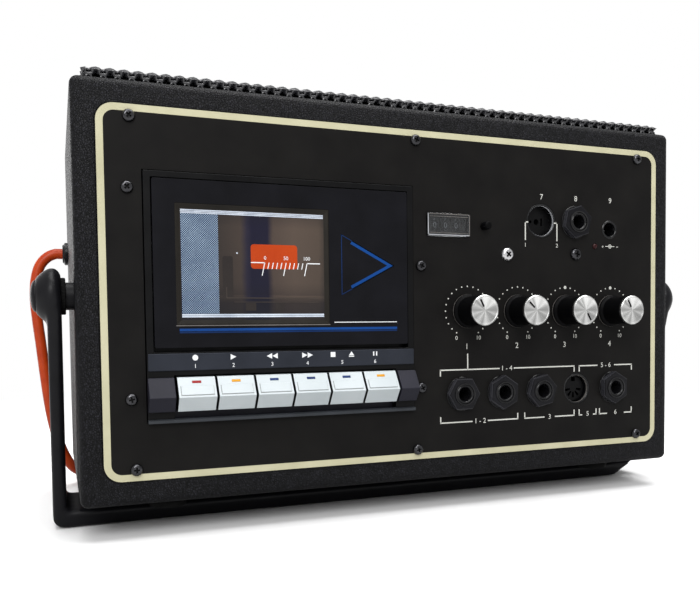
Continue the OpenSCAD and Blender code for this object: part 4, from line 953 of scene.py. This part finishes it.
def deck_frame():
    back, gap = 4, 0.3
    left, right = DECK_X - DECK_W / 2 + gap, DECK_X + DECK_W / 2 - gap
    top, bottom = DECK_TOP - gap, DECK_BOTTOM + gap
    door_half, door_low = DOOR_W / 2 + 0.4, STRIP_TOP + 0.6
    key_low, key_high = KEY_FOOT - 3.6, KEY_TOP + 0.8
    bm = bmesh.new()
    plate(
        bm, back,
        span_loop(bm, DECK_FACE, left, bottom, right, top),
        span_loop(bm, DECK_FACE, DECK_X - door_half, door_low, DECK_X + door_half, DOOR_TOP + 0.4),
        span_loop(bm, DECK_FACE, KEY_LEFT, key_low, KEY_RIGHT, key_high),
    )
    flange = 1.2
    plate(
        bm, back,
        span_loop(bm, flange, DECK_SCREW_L - 3.4, bottom - 4.3, DECK_SCREW_R + 2.4, top + 4.3),
        span_loop(bm, flange, left, bottom, right, top),
    )
    for side in (-1, 1):
        for z in (42.55, -13.45):
            turned(bm, [(0, 3.5), (3, 3.5), (3, 19), (0, 19)], (DECK_X + side * (DECK_W / 2 - 4), 0, z), "Y", 20)
        x = DECK_X + 0.8 + side * (3 * KEY_PITCH + 3)
        box(bm, (x - 1.5, 3.5, KEY_MID - 5), (x + 1.5, KEY_AXIS_Y + 5, KEY_MID + 5))
    box(bm, (DECK_X - door_half - 0.2, 3.7, door_low - 2), (DECK_X + door_half + 0.2, 4.3, HINGE_Z - 0.5))
    piece("deck_frame", bm, DEEP_BLACK, "deck_bezel", 0.35)

    bm = bmesh.new()
    box(bm, (KEY_LEFT, 2.7, key_low - 0.5), (KEY_RIGHT, 3.5, KEY_FOOT + 1))
    box(bm, (KEY_LEFT, DECK_FACE + 0.4, key_low - 0.3), (KEY_RIGHT, 2.8, key_low + 0.1))
    piece("key_well", bm, FLANK_CHARCOAL, edge=0.1)

    bm = bmesh.new()
    half = DECK_W / 2 - 0.7
    plate(bm, STRIP_FACE, span_loop(bm, DECK_FACE + 0.1, DECK_X - half, STRIP_LOW, DECK_X + half, STRIP_TOP))
    piece("deck_strip", bm, STRIP_CHARCOAL, edge=0.4)

    bm = bmesh.new()
    bar_along_x(bm, left, KEY_LEFT - 0.2, key_profile(-1))
    bar_along_x(bm, KEY_RIGHT + 0.2, right, key_profile(-1))
    piece("deck_flanks", bm, FLANK_CHARCOAL, edge=0.35)

    bm = bmesh.new()
    lip_y, lip_low = DECK_FACE - 1.6, bottom - 0.4
    bar_along_x(bm, left, right, [
        (DECK_FACE + 1, key_low + 0.4), (DECK_FACE - 0.8, key_low + 0.4), (lip_y, key_low - 0.1), (lip_y, lip_low),
        (DECK_FACE + 1, lip_low),
    ])
    piece("deck_lip", bm, LIP_GREY, edge=0.15)


def strip_symbols():
    """Plain transport symbols above the keys."""
    y, z, size = STRIP_FACE, -27.2, 1.25
    bm = bmesh.new()
    ink_dot(bm, y, -107.1, z, size, 20)
    for x, way in ((-90.4, 1), (-74.1, -1), (-71.5, -1), (-57.5, 1), (-54.9, 1)):
        corners = [(x - way * size, z - size), (x + way * size, z), (x - way * size, z + size)]
        ink_shape(bm, y, corners[::way])
    ink_bar(bm, y, -45, z - 1.15, -42.7, z + 1.15)
    ink_shape(bm, y, [(-36, z - 0.55), (-33.4, z - 0.55), (-34.7, z + 1.3)])
    ink_bar(bm, y, -36, z - 1.25, -33.4, z - 0.8)
    for x in (-23.5, -22):
        ink_bar(bm, y, x - 0.3, z - 1, x + 0.3, z + 1)
    for k, x in enumerate((-107.1, -90.4, -72.8, -56.2, -39.3, -22.8)):
        lettering(bm, str(k + 1), 2.5, x, z - 3.7, y)
    piece("strip_symbols", bm, WHITE_INK, crease=50)


deck_frame()
strip_symbols()


# Keys

KEY_MARKS = (RED_MARK, AMBER_MARK, BLUE_MARK, BLUE_MARK, BLUE_MARK, AMBER_MARK)


def piano_key(n, name):
    """A key: its bar with sides painted black as shade in the gaps between keys, the raised pad with a painted
    shadow line round it, the coloured mark and the lever.
    """
    x = KEY_X0 + n * KEY_PITCH
    half = (KEY_PITCH - 0.95) / 2
    bm = bmesh.new()
    bar_along_x(bm, x - half, x + half, key_profile(DECK_FACE + 3))
    bmesh.ops.recalc_face_normals(bm, faces=bm.faces[:])
    # The bar's side faces are painted deep black: painted shade in the gaps between keys.
    for face in bm.faces:
        face.material_index = 3 if abs(face.normal.x) > 0.9 else 0
    crest = Vector((x, KEY_CREST_Y, KEY_TOP))
    slope = (Vector((x, KEY_NOSE_Y, KEY_NOSE)) - crest).normalized()
    outward = Vector((0, slope.z, -slope.y))
    turn = Matrix((Vector((1, 0, 0)), -outward, -slope)).transposed().to_4x4()

    def on_slope(down, wide, proud, deep, high):
        spot = crest + slope * down
        box(bm, spot - Vector((wide, proud, high)), spot + Vector((wide, deep, high)), turn, spot)

    on_slope(6.7, half - 1.2, 0.4, 0.3, 2.2)
    box(bm, (x - 3, DECK_FACE + 2, KEY_MID - 3), (x + 3, KEY_AXIS_Y - 2.4, KEY_MID + 3))
    ring = [(2.05, -3), (3.8, -3), (3.8, 3), (2.05, 3), (2.05, -3)]
    turned(bm, ring, (x, KEY_AXIS_Y, KEY_MID), "X", 24)
    known = set(bm.faces)
    on_slope(2.4, 2, 0.15, 0.35, 0.65)
    paint_new(bm, known, 1)
    # A thin grey plate just larger than the pad, under it: a painted shadow line round the pad.
    known = set(bm.faces)
    on_slope(6.7, half - 1, 0.06, 0.3, 2.4)
    paint_new(bm, known, 2)
    paints = [KEY_GREY, KEY_MARKS[n], HIGHLIGHT_AND_SHADE_GREY, DEEP_BLACK]
    piece(name + "_key_top", bm, paints, name + "_key", 0.18, body=name + "_lever")


for number, key in enumerate(KEY_NAMES):
    piano_key(number, key)


# Cassette door

PANE = DOOR_FACE + 1
FRAME_W = 2.4


def cassette_door():
    bm = bmesh.new()
    mid_z, half = (DOOR_TOP + DOOR_BOTTOM) / 2, DOOR_W / 2 - 0.3
    plate(
        bm, 0.5,
        rect_loop(bm, DOOR_FACE, DECK_X, mid_z, DOOR_W, DOOR_TOP - DOOR_BOTTOM, 0.8, 3),
        rect_loop(bm, DOOR_FACE, WINDOW_X, WINDOW_Z, WINDOW_W, WINDOW_H, 0.6, 3),
    )
    box(bm, (DECK_X - half, 0.4, DOOR_BOTTOM + 0.2), (DECK_X + half, 3, HINGE_Z + 1.8))
    pin, end = 1.2, DECK_W / 2 - 1.5
    turned(bm, [(0, -end), (pin, -end), (pin, end), (0, end)], (DECK_X, HINGE_Y, HINGE_Z), "X", 20)
    piece("door_panel", bm, DOOR_CHARCOAL, "cassette_door", 0.4, 3, body="door")

    bm = bmesh.new()
    rim, back = DOOR_FACE + 0.25, 0.45
    loops = [
        rect_loop(bm, y, WINDOW_X, WINDOW_Z, WINDOW_W - 0.1 - 2 * inset, WINDOW_H - 0.1 - 2 * inset)
        for y, inset in ((rim, 0), (rim, 0.5), (PANE + 0.1, FRAME_W), (back, FRAME_W), (back, 0))
    ]
    for first, second in zip(loops, loops[1:] + loops[:1]):
        bmesh.ops.bridge_loops(bm, edges=first + second)
    piece("window_frame", bm, WINDOW_BROWN, crease=20, body="door")
    # A painted highlight: a light grey line along the foot of the window.
    bm = bmesh.new()
    foot, half = WINDOW_Z - WINDOW_H / 2, WINDOW_W / 2 + 0.2
    ink_bar(bm, DOOR_FACE, WINDOW_X - half, foot - 0.35, WINDOW_X + half, foot + 0.02)
    piece("window_foot_highlight", bm, HIGHLIGHT_AND_SHADE_GREY, crease=50, body="door")

    bm = bmesh.new()
    plate(bm, 0.3, rect_loop(bm, PANE, WINDOW_X, WINDOW_Z, WINDOW_W - 4.4, WINDOW_H - 4.4))
    piece("door_pane", bm, SMOKED, "door_window", crease=30, body="door")


def pane_print():
    """What shows on and through the window: stripes, halftone band, painted shadows, painted gleams and a tape
    scale.
    """
    left, right = WINDOW_X - WINDOW_W / 2 + FRAME_W + 0.1, WINDOW_X + WINDOW_W / 2 - FRAME_W - 0.1
    top, low = WINDOW_Z + WINDOW_H / 2 - FRAME_W, WINDOW_Z - WINDOW_H / 2 + 3.25
    front = PANE - INK

    def print_piece(name, bm, ink):
        piece(name, bm, ink, crease=50, body="door")

    bm = bmesh.new()
    for k in range(3):
        ink_bar(bm, PANE, left, top - 0.55 - 0.62 * k, right, top - 0.1 - 0.62 * k)
    for k in range(2):
        ink_bar(bm, PANE, left, low + 0.15 + 0.8 * k, right, low + 0.8 + 0.8 * k)
    # A painted highlight: a small silver dot at the middle of the larger gleam dot.
    ink_dot(bm, front, -87.7, 18.4, 0.35, 16)
    print_piece("pane_stripes", bm, SILVER_INK)

    bm = bmesh.new()
    ink_bar(bm, PANE, left, low + 1.7, -95.95, top - 1.9)
    print_piece("pane_halftone", bm, HALFTONE)

    bm = bmesh.new()
    ink_shape(bm, PANE, [(-94.2, -2.2), (-89.6, -2.2), (-89.6, 17), (-94.2, 17)], 0.8)
    ink_bar(bm, PANE, -84.2, -6.9, -79.4, -3.5)
    ink_bar(bm, PANE, -70.4, -6.9, -66.4, -3.5)
    print_piece("pane_shadows", bm, PANE_SHADE)

    bm = bmesh.new()
    ink_bar(bm, front, -92.7, -1.45, right - 2.5, -1.15)
    ink_bar(bm, front, -89.3, -3.2, right - 2.5, -3)
    ink_bar(bm, front, -92.7, -1.15, -92.45, 3.4)
    ink_dot(bm, PANE, -87.7, 18.4, 0.85, 16)
    ink_dot(bm, PANE, -49, 16.4, 0.5, 16)
    print_piece("pane_gleams", bm, PANE_GLEAM)

    bm = bmesh.new()
    ink_shape(bm, PANE, [(-81.5, 11.7), (-60, 11.7), (-60, 22.5), (-81.5, 22.5)], 1.4)
    print_piece("pane_patch", bm, ORANGE_INK)

    bm = bmesh.new()
    scale_x, scale_z, step, half = -75.2, 14.5, 1.98, 0.2
    ink_bar(bm, front, -81.5, 14.2, scale_x, 14.65)
    ink_bar(bm, front, scale_x + 10 * step, 14.2, -49.2, 14.65)
    for k in range(11):
        x = scale_x + step * k
        foot = 8.7 if k % 5 == 0 else 11.7
        lean = 0.22 * (scale_z - foot)
        ink_shape(bm, front, [
            (x - half - lean, foot), (x + half - lean, foot), (x + half, scale_z), (x - half, scale_z),
        ])
    for words, x in (("0", -75), ("50", -65.4), ("100", -55.6)):
        lettering(bm, words, 2.3, x, 16.5, front - 0.02)
    ink_bar(bm, DOOR_FACE, -42.8, -12.5, -11.1, -12.15)
    print_piece("pane_scale", bm, WHITE_INK)


def door_print():
    """The door's arrow, in thick and thin lines, and the stripes at its foot."""
    x0, x1, z0, z1 = -39.05, -12.3, 0.2, 28.2
    start, tip = Vector((x0, z1)), Vector((x1, (z0 + z1) / 2))
    along = (tip - start).normalized()
    inward = Vector((along.y, -along.x))
    for name, ink, foot, head, share, wide in (
        ("door_arrow", BLUE_INK, -15.75, -14.65, 0.2, 1.7), ("door_lines", NAVY_INK, -16.65, -15.95, 0, 0.35),
    ):
        bm = bmesh.new()
        ink_bar(bm, DOOR_FACE, -113.4, foot, -11.1, head)
        first = start + (tip - start) * share
        inner_tip = tip + Vector((wide / inward.x, 0))
        for side in (1, -1):
            corners = [first, tip, inner_tip, first + inward * wide]
            flat = [(v.x, tip.y + side * (v.y - tip.y)) for v in corners]
            ink_shape(bm, DOOR_FACE, flat[::-side])
        if not share:
            ink_bar(bm, DOOR_FACE, x0, z0, x0 + wide, z1)
        piece(name, bm, ink, crease=50, body="door")


cassette_door()
pane_print()
door_print()


# Counter

WHEEL_PITCH, WHEEL_R, WHEEL_Y = 5.9, 5.98, 9


def counter_digits(n, name):
    """A counter wheel with its ten numbers round the rim."""
    axle = Vector((COUNTER_X + (n - 1) * WHEEL_PITCH, WHEEL_Y, COUNTER_Z))
    bm = bmesh.new()
    rim = [(1.05, -2.6), (5.6, -2.6), (5.95, -2.3), (5.95, 2.3), (5.6, 2.6), (1.05, 2.6), (1.05, -2.6)]
    turned(bm, rim, axle, "X", 40)
    known = set(bm.faces)
    for k in range(10):
        before = set(bm.verts)
        lettering(bm, str(k), 3.9, 0, 0, 0, 0.04)
        digit = [v for v in bm.verts if v not in before]
        for v in digit:
            a, reach = v.co.z / WHEEL_R, WHEEL_R - v.co.y
            v.co = Vector((v.co.x, -reach * math.cos(a), reach * math.sin(a)))
        spin = Matrix.Translation(axle) @ Matrix.Rotation(math.radians(36 * k), 4, "X")
        bmesh.ops.transform(bm, matrix=spin, verts=digit)
    paint_new(bm, known, 1)
    paints = [WHEEL_BLACK, WHEEL_INK]
    piece(name + "_digits", bm, paints, name + "_wheel", crease=40, body=name)


def counter_front():
    """The counter's clear block with painted highlights along its edges, the mask behind it and the reset button.
    """
    y, wide, high = PANEL_FACE - 1.2, 11.5, 5.45
    bm = bmesh.new()
    plate(bm, 0.9, rect_loop(bm, y, COUNTER_X, COUNTER_Z, 23.2, 11.1, 0.8, 3))
    piece("counter_glass", bm, CLEAR, "counter_window", 0.5, 3)

    bm = bmesh.new()
    plate(
        bm, 2.3,
        rect_loop(bm, 1.1, COUNTER_X, COUNTER_Z, 23, 11),
        rect_loop(bm, 1.1, COUNTER_X, COUNTER_Z, 18.4, 6.4, 0.5, 3),
    )
    piece("counter_mask", bm, DEEP_BLACK, edge=0.2)

    bm = bmesh.new()
    foot, head = 0.15 - high, high - 0.35

    def edge_line(x0, z0, x1, z1):
        ink_bar(bm, y, COUNTER_X + x0, COUNTER_Z + z0, COUNTER_X + x1, COUNTER_Z + z1)

    # Painted highlights: bright lines along the foot and the left, dimmer ones along the top and the right, and
    # two inner lines.
    edge_line(-wide, foot, wide, foot + 0.4)
    edge_line(-wide, foot, 0.4 - wide, head)
    known = set(bm.faces)
    edge_line(0.4 - wide, head - 0.3, wide, head)
    edge_line(wide - 0.25, foot, wide, head)
    for z in (high - 1.75, 1.2 - high):
        edge_line(1 - wide, z, wide - 1, z + 0.2)
    paint_new(bm, known, 1)
    piece("counter_edge_highlights", bm, [HIGHLIGHT_BRIGHT, HIGHLIGHT_AND_SHADE_GREY], crease=50)

    bm = bmesh.new()
    button = [
        (0, -5.5), (1.2, -5.5), (1.75, -5.2), (2, -4.6), (2, 1.25), (3, 1.3), (3, 2.4), (2, 2.5), (2, 7), (0, 7),
    ]
    turned(bm, button, (RESET_X, 0, COUNTER_Z), "Y", 32)
    piece("reset_top", bm, KNOB_BLACK, "reset_button", crease=40, body="reset")


for number, wheel in enumerate(("hundreds", "tens", "units")):
    counter_digits(number, wheel)
counter_front()


# Knobs and caps

CAP_TEETH = 72


def knob(n, name):
    spot = Vector((DIAL_X + n * DIAL_PITCH, 0, DIAL_Z))
    front = spot + Vector((0, KNOB_FRONT, 0))
    back, body = KNOB_FRONT + 2, name + "_control"
    bm = bmesh.new()
    turned(bm, [
        (0, back), (7.0, back), (7.2, back + 0.3), (7.2, -3.6), (7.6, -3.2), (8.3, -2.6), (8.4, -1.3),
        (8.1, -1), (4.4, -1), (4.4, -5.5), (3, -5.5), (3, 6), (0, 6),
    ], spot, "Y", 72)
    known = set(bm.faces)
    # A painted highlight: a light grey ring round the skirt's rim.
    turned(bm, [(8.1, -1.05), (8.42, -1.15), (8.42, -1.5), (8.2, -1.55), (8.1, -1.05)], spot, "Y", 72)
    paint_new(bm, known, 1)
    piece(name + "_knob_body", bm, [KNOB_BLACK, HIGHLIGHT_AND_SHADE_GREY], name + "_knob", crease=30, body=body)

    bm = bmesh.new()
    turned(bm, [
        (0, 0.3), (5.7, 0.22), (6.3, 0.12), (6.5, 0), (6.95, 0), (7.3, 0.25), (7.45, 0.5), (7.45, 1.6),
        (7.2, 1.9), (0, 1.9),
    ], front, "Y", 2 * CAP_TEETH)
    ribbed(bm, spot, 1, 7.25, CAP_TEETH, 0.16)
    known = set(bm.faces)
    turn = Matrix.Rotation(math.radians(DIAL_ANGLES[n]), 4, "Y")
    box(bm, front + Vector((-0.4, 0.08, 1.9)), front + Vector((0.4, 0.5, 5.8)), turn, spot)
    paint_new(bm, known, 1)
    metal = spun_metal(name + "_spun_aluminium_with_painted_sheen", front)
    piece(name + "_cap_disc", bm, [metal, DEEP_BLACK], name + "_cap", crease=25, body=body)


for number, dial in enumerate(DIAL_NAMES):
    knob(number, dial)


# Sockets

JACKS = [(SOCKET_X + i * SOCKET_PITCH, SOCKET_Z) for i in (0, 1, 2, 4)] + [(PHONES_X, UPPER_Z)]
NUT_TURNS = (30, 3, 18, 0, 12)
BUSH_R = 4.8


def jacks():
    """Jack bushes and their hexagon nuts, each nut on its washer."""
    bm = bmesh.new()
    for x, z in JACKS:
        turned(bm, [
            (3.25, 26), (3.25, -3.6), (3.5, -4.2), (3.9, -4.5), (4.4, -4.4), (4.7, -4.1), (4.7, 1.2), (7.8, 1.3),
            (7.8, 28), (0, 28), (0, 26), (3.25, 26),
        ], (x, 0, z), "Y", 40)
    piece("jack_bushes", bm, GLOSS_BLACK, "jack_sockets")

    washer = [(BUSH_R, -0.65), (8.3, -0.65), (8.5, -0.45), (8.5, 0), (BUSH_R, 0), (BUSH_R, -0.65)]
    collar = [(BUSH_R, -3.4), (BUSH_R, -3.95), (5.2, -4.05), (5.55, -3.9), (5.7, -3.4), (BUSH_R, -3.4)]
    bm = bmesh.new()
    for (x, z), turn in zip(JACKS, NUT_TURNS):
        # Each nut's body is painted lighter than its face: painted highlights along the hexagon's edges.
        for near, far, size, paint in ((0.6, 3, 8.66, 1), (3, 3.5, 8.2, 0)):
            known = set(bm.faces)
            angles = [math.radians(turn - 60 * k) for k in range(6)]
            hexagon = [(x + size * math.sin(a), z + size * math.cos(a)) for a in angles]
            hole = round_loop(bm, PANEL_FACE - near, x, z, BUSH_R, 40)
            plate(bm, PANEL_FACE - far, corner_loop(bm, PANEL_FACE - near, hexagon), hole)
            paint_new(bm, known, paint)
        known = set(bm.faces)
        for profile in (washer, collar):
            turned(bm, profile, (x, PANEL_FACE, z), "Y", 40)
        paint_new(bm, known, 2)
    piece("jack_nut_set", bm, [NUT_BLACK, NUT_HIGHLIGHT, GLOSS_BLACK], "jack_nuts", crease=30)


def socket_cup(bm, x, z, r, back, wall):
    """A round socket's cup, one millimetre thick at its mouth."""
    turned(bm, [
        (r - 1, 4), (r - 1, -0.2), (r - 0.7, -0.45), (r - 0.2, -0.5), (r, -0.3), (r, back), (0, back),
        (0, back - wall), (r - 1, back - wall),
    ], (x, 0, z), "Y", 56)


def socket_rim(bm, x, z, r):
    """The bare edge inside a socket's mouth, with a painted highlight: a light grey ring."""
    known = set(bm.faces)
    outer, inner = r + 0.05, r - 0.12
    turned(bm, [(outer, 0.9), (outer, 0), (inner, 0), (inner, 0.9), (outer, 0.9)], (x, 0, z), "Y", 56)
    paint_new(bm, known, 2)


def speaker_socket():
    x, z, r, face = SPEAKER_SOCKET_X, UPPER_Z, 8.8, 4
    bm = bmesh.new()
    socket_cup(bm, x, z, r, 10, 1)
    known = set(bm.faces)
    plate(
        bm, 8.9, round_loop(bm, face, x, z, r - 1, 56), rect_loop(bm, face, x + 3.2, z, 1.1, 4),
        round_loop(bm, face, x, z, 1.5, 24), round_loop(bm, face, x - 3.5, z, 0.75, 16),
    )
    paint_new(bm, known, 1)
    socket_rim(bm, x, z, r - 1)
    piece("speaker_socket_cup", bm, [GLOSS_BLACK, DEEP_BLACK, HIGHLIGHT_BRIGHT], "speaker_socket")


def five_pin_socket():
    x, z, r, face = SOCKET_X + 3 * SOCKET_PITCH, SOCKET_Z, 8.2, 2.6
    bm = bmesh.new()
    socket_cup(bm, x, z, r, 13, 2)
    middle, holes = Vector((x, z)), []
    for degrees in (-170, -130, -90, -50, -10):
        out = Vector((math.cos(math.radians(degrees)), math.sin(math.radians(degrees))))
        across = Vector((-out.y, out.x))
        corners = ((1.9, -0.45), (5, -0.75), (5, 0.75), (1.9, 0.45))
        spots = [middle + out * far + across * aside for far, aside in corners]
        holes.append(corner_loop(bm, face, spots, 0.3, 2))
    notch = rect_loop(bm, face, x, z + 4.9, 2.4, 2.2)
    known = set(bm.faces)
    plate(bm, 10.9, round_loop(bm, face, x, z, r - 1.6, 56), notch, *holes)
    paint_new(bm, known, 1)
    socket_rim(bm, x, z, r - 1)
    piece("round_socket_cup", bm, [GLOSS_BLACK, DEEP_BLACK, HIGHLIGHT_AND_SHADE_GREY], "din_socket")


def inlet_and_lamp():
    spot = (INLET_X, 0, INLET_Z)
    bm = bmesh.new()
    turned(bm, [
        (3.7, 12), (3.7, -0.5), (4, -0.8), (4.5, -0.9), (4.9, -0.6), (4.9, 1.1), (5.9, 1.2), (5.9, 14), (0, 14),
        (0, 12), (3.7, 12),
    ], spot, "Y", 40)
    known = set(bm.faces)
    turned(bm, [(0, 4.3), (0.7, 4.4), (1, 4.9), (1, 12.2), (0, 12.2)], spot, "Y", 20)
    paint_new(bm, known, 1)
    piece("power_inlet", bm, [GLOSS_BLACK, BRIGHT_STEEL], "dc_socket")

    bm = bmesh.new()
    turned(bm, [
        (0, -1.3), (0.7, -1.2), (1.2, -0.95), (1.45, -0.5), (1.5, 0), (1.5, 1), (2.2, 1.05), (2.2, 2.2),
        (1.5, 2.2), (1.5, 5), (0, 5),
    ], (LAMP_X, 0, LAMP_Z), "Y", 28)
    piece("lamp_lens", bm, LAMP_RED, "power_lamp", crease=40)


jacks()
speaker_socket()
five_pin_socket()
inlet_and_lamp()


# Handle

REACH, BAR_T, ARM_T, STRAP_W, FOLD, ARM_X = 97.5, 10.5, 6, 23, 14, 160.5
HUB_WIDE_X, CAP_X, CAP_R = 163.6, 171.1, 6.8
TRIM_AT, TRIM_FACING, MELT = (147.3, 34.3, FLOOR_Z), (0.511, -0.2466, -0.8233), 1.1
WASHER_TEETH = 36


def handle_strap():
    """The moulded bail: a strap with softened edges that swells into a round hub at each pivot."""
    outer, side, corner, end = REACH + BAR_T, ARM_X + ARM_T, 5, 2
    bm = bmesh.new()
    plate(bm, STRAP_W / 2, corner_loop(bm, -STRAP_W / 2, [
        (-side, end), (-side, corner - outer), (corner - side, -outer), (side - corner, -outer),
        (side, corner - outer), (side, end), (ARM_X, end), (ARM_X, -REACH), (-ARM_X, -REACH), (-ARM_X, end),
    ]))
    bmesh.ops.recalc_face_normals(bm, faces=bm.faces[:])
    sharp = [e for e in bm.edges if e.calc_face_angle(0) > 0.5]
    bmesh.ops.bevel(bm, geom=sharp, offset=1.6, segments=3, profile=0.5, affect="EDGES", material=-1)
    for way in (-1, 1):
        turned(bm, [(r, way * d) for r, d in (
            (0, ARM_X), (9.2, ARM_X), (10.8, ARM_X + 0.8), (11.9, ARM_X + 2), (12.2, HUB_WIDE_X + 0.4),
            (12.0, HUB_WIDE_X + 1.6), (11.2, HUB_WIDE_X + 3.2), (9.6, HUB_WIDE_X + 5.2), (8, HUB_WIDE_X + 6.8),
            (CAP_R, CAP_X), (0, CAP_X),
        )], (0, 0, 0), "X", 64)
        bmesh.ops.create_cone(
            bm, cap_ends=True, segments=48, radius1=11.4, radius2=10.6, depth=16,
            matrix=Matrix.Translation((way * (ARM_X + 3.0), 0, -5)) @ Matrix.Diagonal((0.265, 1, 1, 1)),
        )
    bm.transform(Matrix.Translation((0, PIVOT_Y, 0)) @ Matrix.Rotation(math.radians(FOLD), 4, "X"))
    # The bar is flat where it stands on the floor, and its right end is trimmed.
    stand = FLOOR_Z + 0.02
    bmesh.ops.bisect_plane(bm, geom=everything(bm), plane_co=(0, 0, stand), plane_no=(0, 0, -1))
    for v in bm.verts:
        v.co.z = max(v.co.z, stand)
    cut = bmesh.ops.bisect_plane(
        bm, geom=everything(bm), plane_co=TRIM_AT, plane_no=TRIM_FACING, clear_outer=True
    )["geom_cut"]
    fill(bm, only(BMEdge, cut))
    made = piece("bail_handle", bm, HANDLE_BLACK, "handle", crease=80, body="handle")
    melt = made.modifiers.new("one_moulding", "REMESH")
    melt.mode = "VOXEL"
    melt.voxel_size = MELT * MM
    melt.use_smooth_shade = True
    ease = made.modifiers.new("soft_fillets", "SMOOTH")
    ease.factor = 0.5
    ease.iterations = 7
    graph = bpy.context.evaluated_depsgraph_get()
    final = bpy.data.meshes.new_from_object(made.evaluated_get(graph))
    made.modifiers.clear()
    made.data = final


def handle_fittings():
    pivot = (0, PIVOT_Y, 0)
    bm = bmesh.new()
    turned_ends(bm, (
        (0, CAP_X - 0.6), (CAP_R - 0.2, CAP_X - 0.6), (CAP_R + 0.1, CAP_X - 0.3), (CAP_R, CAP_X + 0.1),
        (CAP_R - 0.7, CAP_X + 0.8), (CAP_R - 2, CAP_X + 1.4), (CAP_R - 4, CAP_X + 1.8), (0, CAP_X + 2),
    ), pivot, 48)
    piece("hub_caps", bm, HANDLE_BLACK, "handle_caps", crease=60, body="handle")

    bm = bmesh.new()
    turned_ends(bm, (
        (4.1, 158.7), (7.6, 158.7), (8, 159), (8, 160.4), (7.6, 160.75), (4.1, 160.75), (4.1, 158.7),
    ), pivot, 2 * WASHER_TEETH)
    ribbed(bm, pivot, 0, 7.5, WASHER_TEETH, 0.25)
    piece("ribbed_washers", bm, RUBBER, "pivot_washers", crease=40)


def gland():
    """The black bush of the lead, with its nut against the cabinet's side."""
    x = -CASE_W / 2
    bm = bmesh.new()
    turned(bm, [
        (2.9, x + 9), (4.9, x + 9), (4.9, x - 0.2), (6.3, x - 0.2), (6.3, x - 1.6), (5.9, x - 2), (5.3, x - 2.2),
        (4.9, x - 2.9), (4.4, x - 3), (2.9, x - 3), (2.9, x + 9),
    ], (0, LEAD_EXIT.y, LEAD_EXIT.z), "X", 40)
    piece("lead_bush", bm, GLOSS_BLACK, "lead_gland")


handle_strap()
handle_fittings()
gland()


# Floor, light and background

FLOOR_HALF, FLOOR_DROP, GLOW_R = 12, 0.0004, 1.3
WHITE = grey(1)
SOFT_LIGHT = 0.58


def floor():
    """Pale paper that fades to plain white away from the recorder."""
    bm = bmesh.new()
    bmesh.ops.create_grid(bm, x_segments=2, y_segments=2, size=FLOOR_HALF)
    mesh = bpy.data.meshes.new("floor")
    bm.to_mesh(mesh)
    bm.free()
    ground = put("floor", mesh)
    ground.location.z = -FLOOR_DROP
    paint = Paint("floor_paper", 0.1)
    direct, glossy, through = (
        paint.node("LightPath", f"Is {ray} Ray") for ray in ("Camera", "Glossy", "Transmission")
    )
    paint.finish(paint.blend(direct, grey(0.5), grey(0.97)), 0.9)
    ball = paint.node("TexGradient", "Fac", {"Vector": paint.place((1 / GLOW_R,) * 3)}, gradient_type="SPHERICAL")
    far = paint.spread(ball, 1, 0, 0.4, 0.84)
    seen = paint.math("MAXIMUM", paint.math("MAXIMUM", direct, glossy), through)
    mix = paint.node("MixShader", "Shader", {
        "Fac": paint.math("MULTIPLY", far, seen), 1: paint.shader.outputs["BSDF"],
        2: paint.node("Emission", "Emission", {"Color": WHITE}),
    })
    join(paint.tree, mix, paint.tree.nodes["Material Output"].inputs["Surface"])
    mesh.materials.append(paint.material)


def lamp(name, spot, aim, size, power):
    data = bpy.data.lights.new(name, "AREA")
    data.shape = "DISK"
    data.size = size
    data.energy = power
    made = put(name, data)
    made.location = spot
    made.rotation_euler = (Vector(aim) - Vector(spot)).to_track_quat("-Z", "Y").to_euler()


def studio():
    """Soft even light, in front of a plain white background."""
    scene.world = bpy.data.worlds.new("studio")
    scene.world.use_nodes = True
    tree = scene.world.node_tree
    soft = tree.nodes["Background"]
    soft.inputs["Color"].default_value = WHITE
    soft.inputs["Strength"].default_value = SOFT_LIGHT
    seen = add_node(tree, "Math", "Value", {
        0: add_node(tree, "LightPath", "Is Camera Ray"), 1: add_node(tree, "LightPath", "Is Transmission Ray"),
    }, operation="MAXIMUM")
    mix = add_node(tree, "MixShader", "Shader", {
        "Fac": seen, 1: soft.outputs["Background"],
        2: add_node(tree, "Background", "Background", {"Color": WHITE, "Strength": 1}),
    })
    join(tree, mix, tree.nodes["World Output"].inputs["Surface"])


floor()
studio()
lamp("key_light", (-0.6, -1.5, 1.1), (0, 0, 0.1), 1.0, 19)
lamp("top_light", (0.15, -0.1, 1.6), (0, 0, 0.1), 1.6, 34)
lamp("rim_light", (-0.8, 1.6, 0.4), (-0.16, 0.1, 0.1), 1.0, 4)
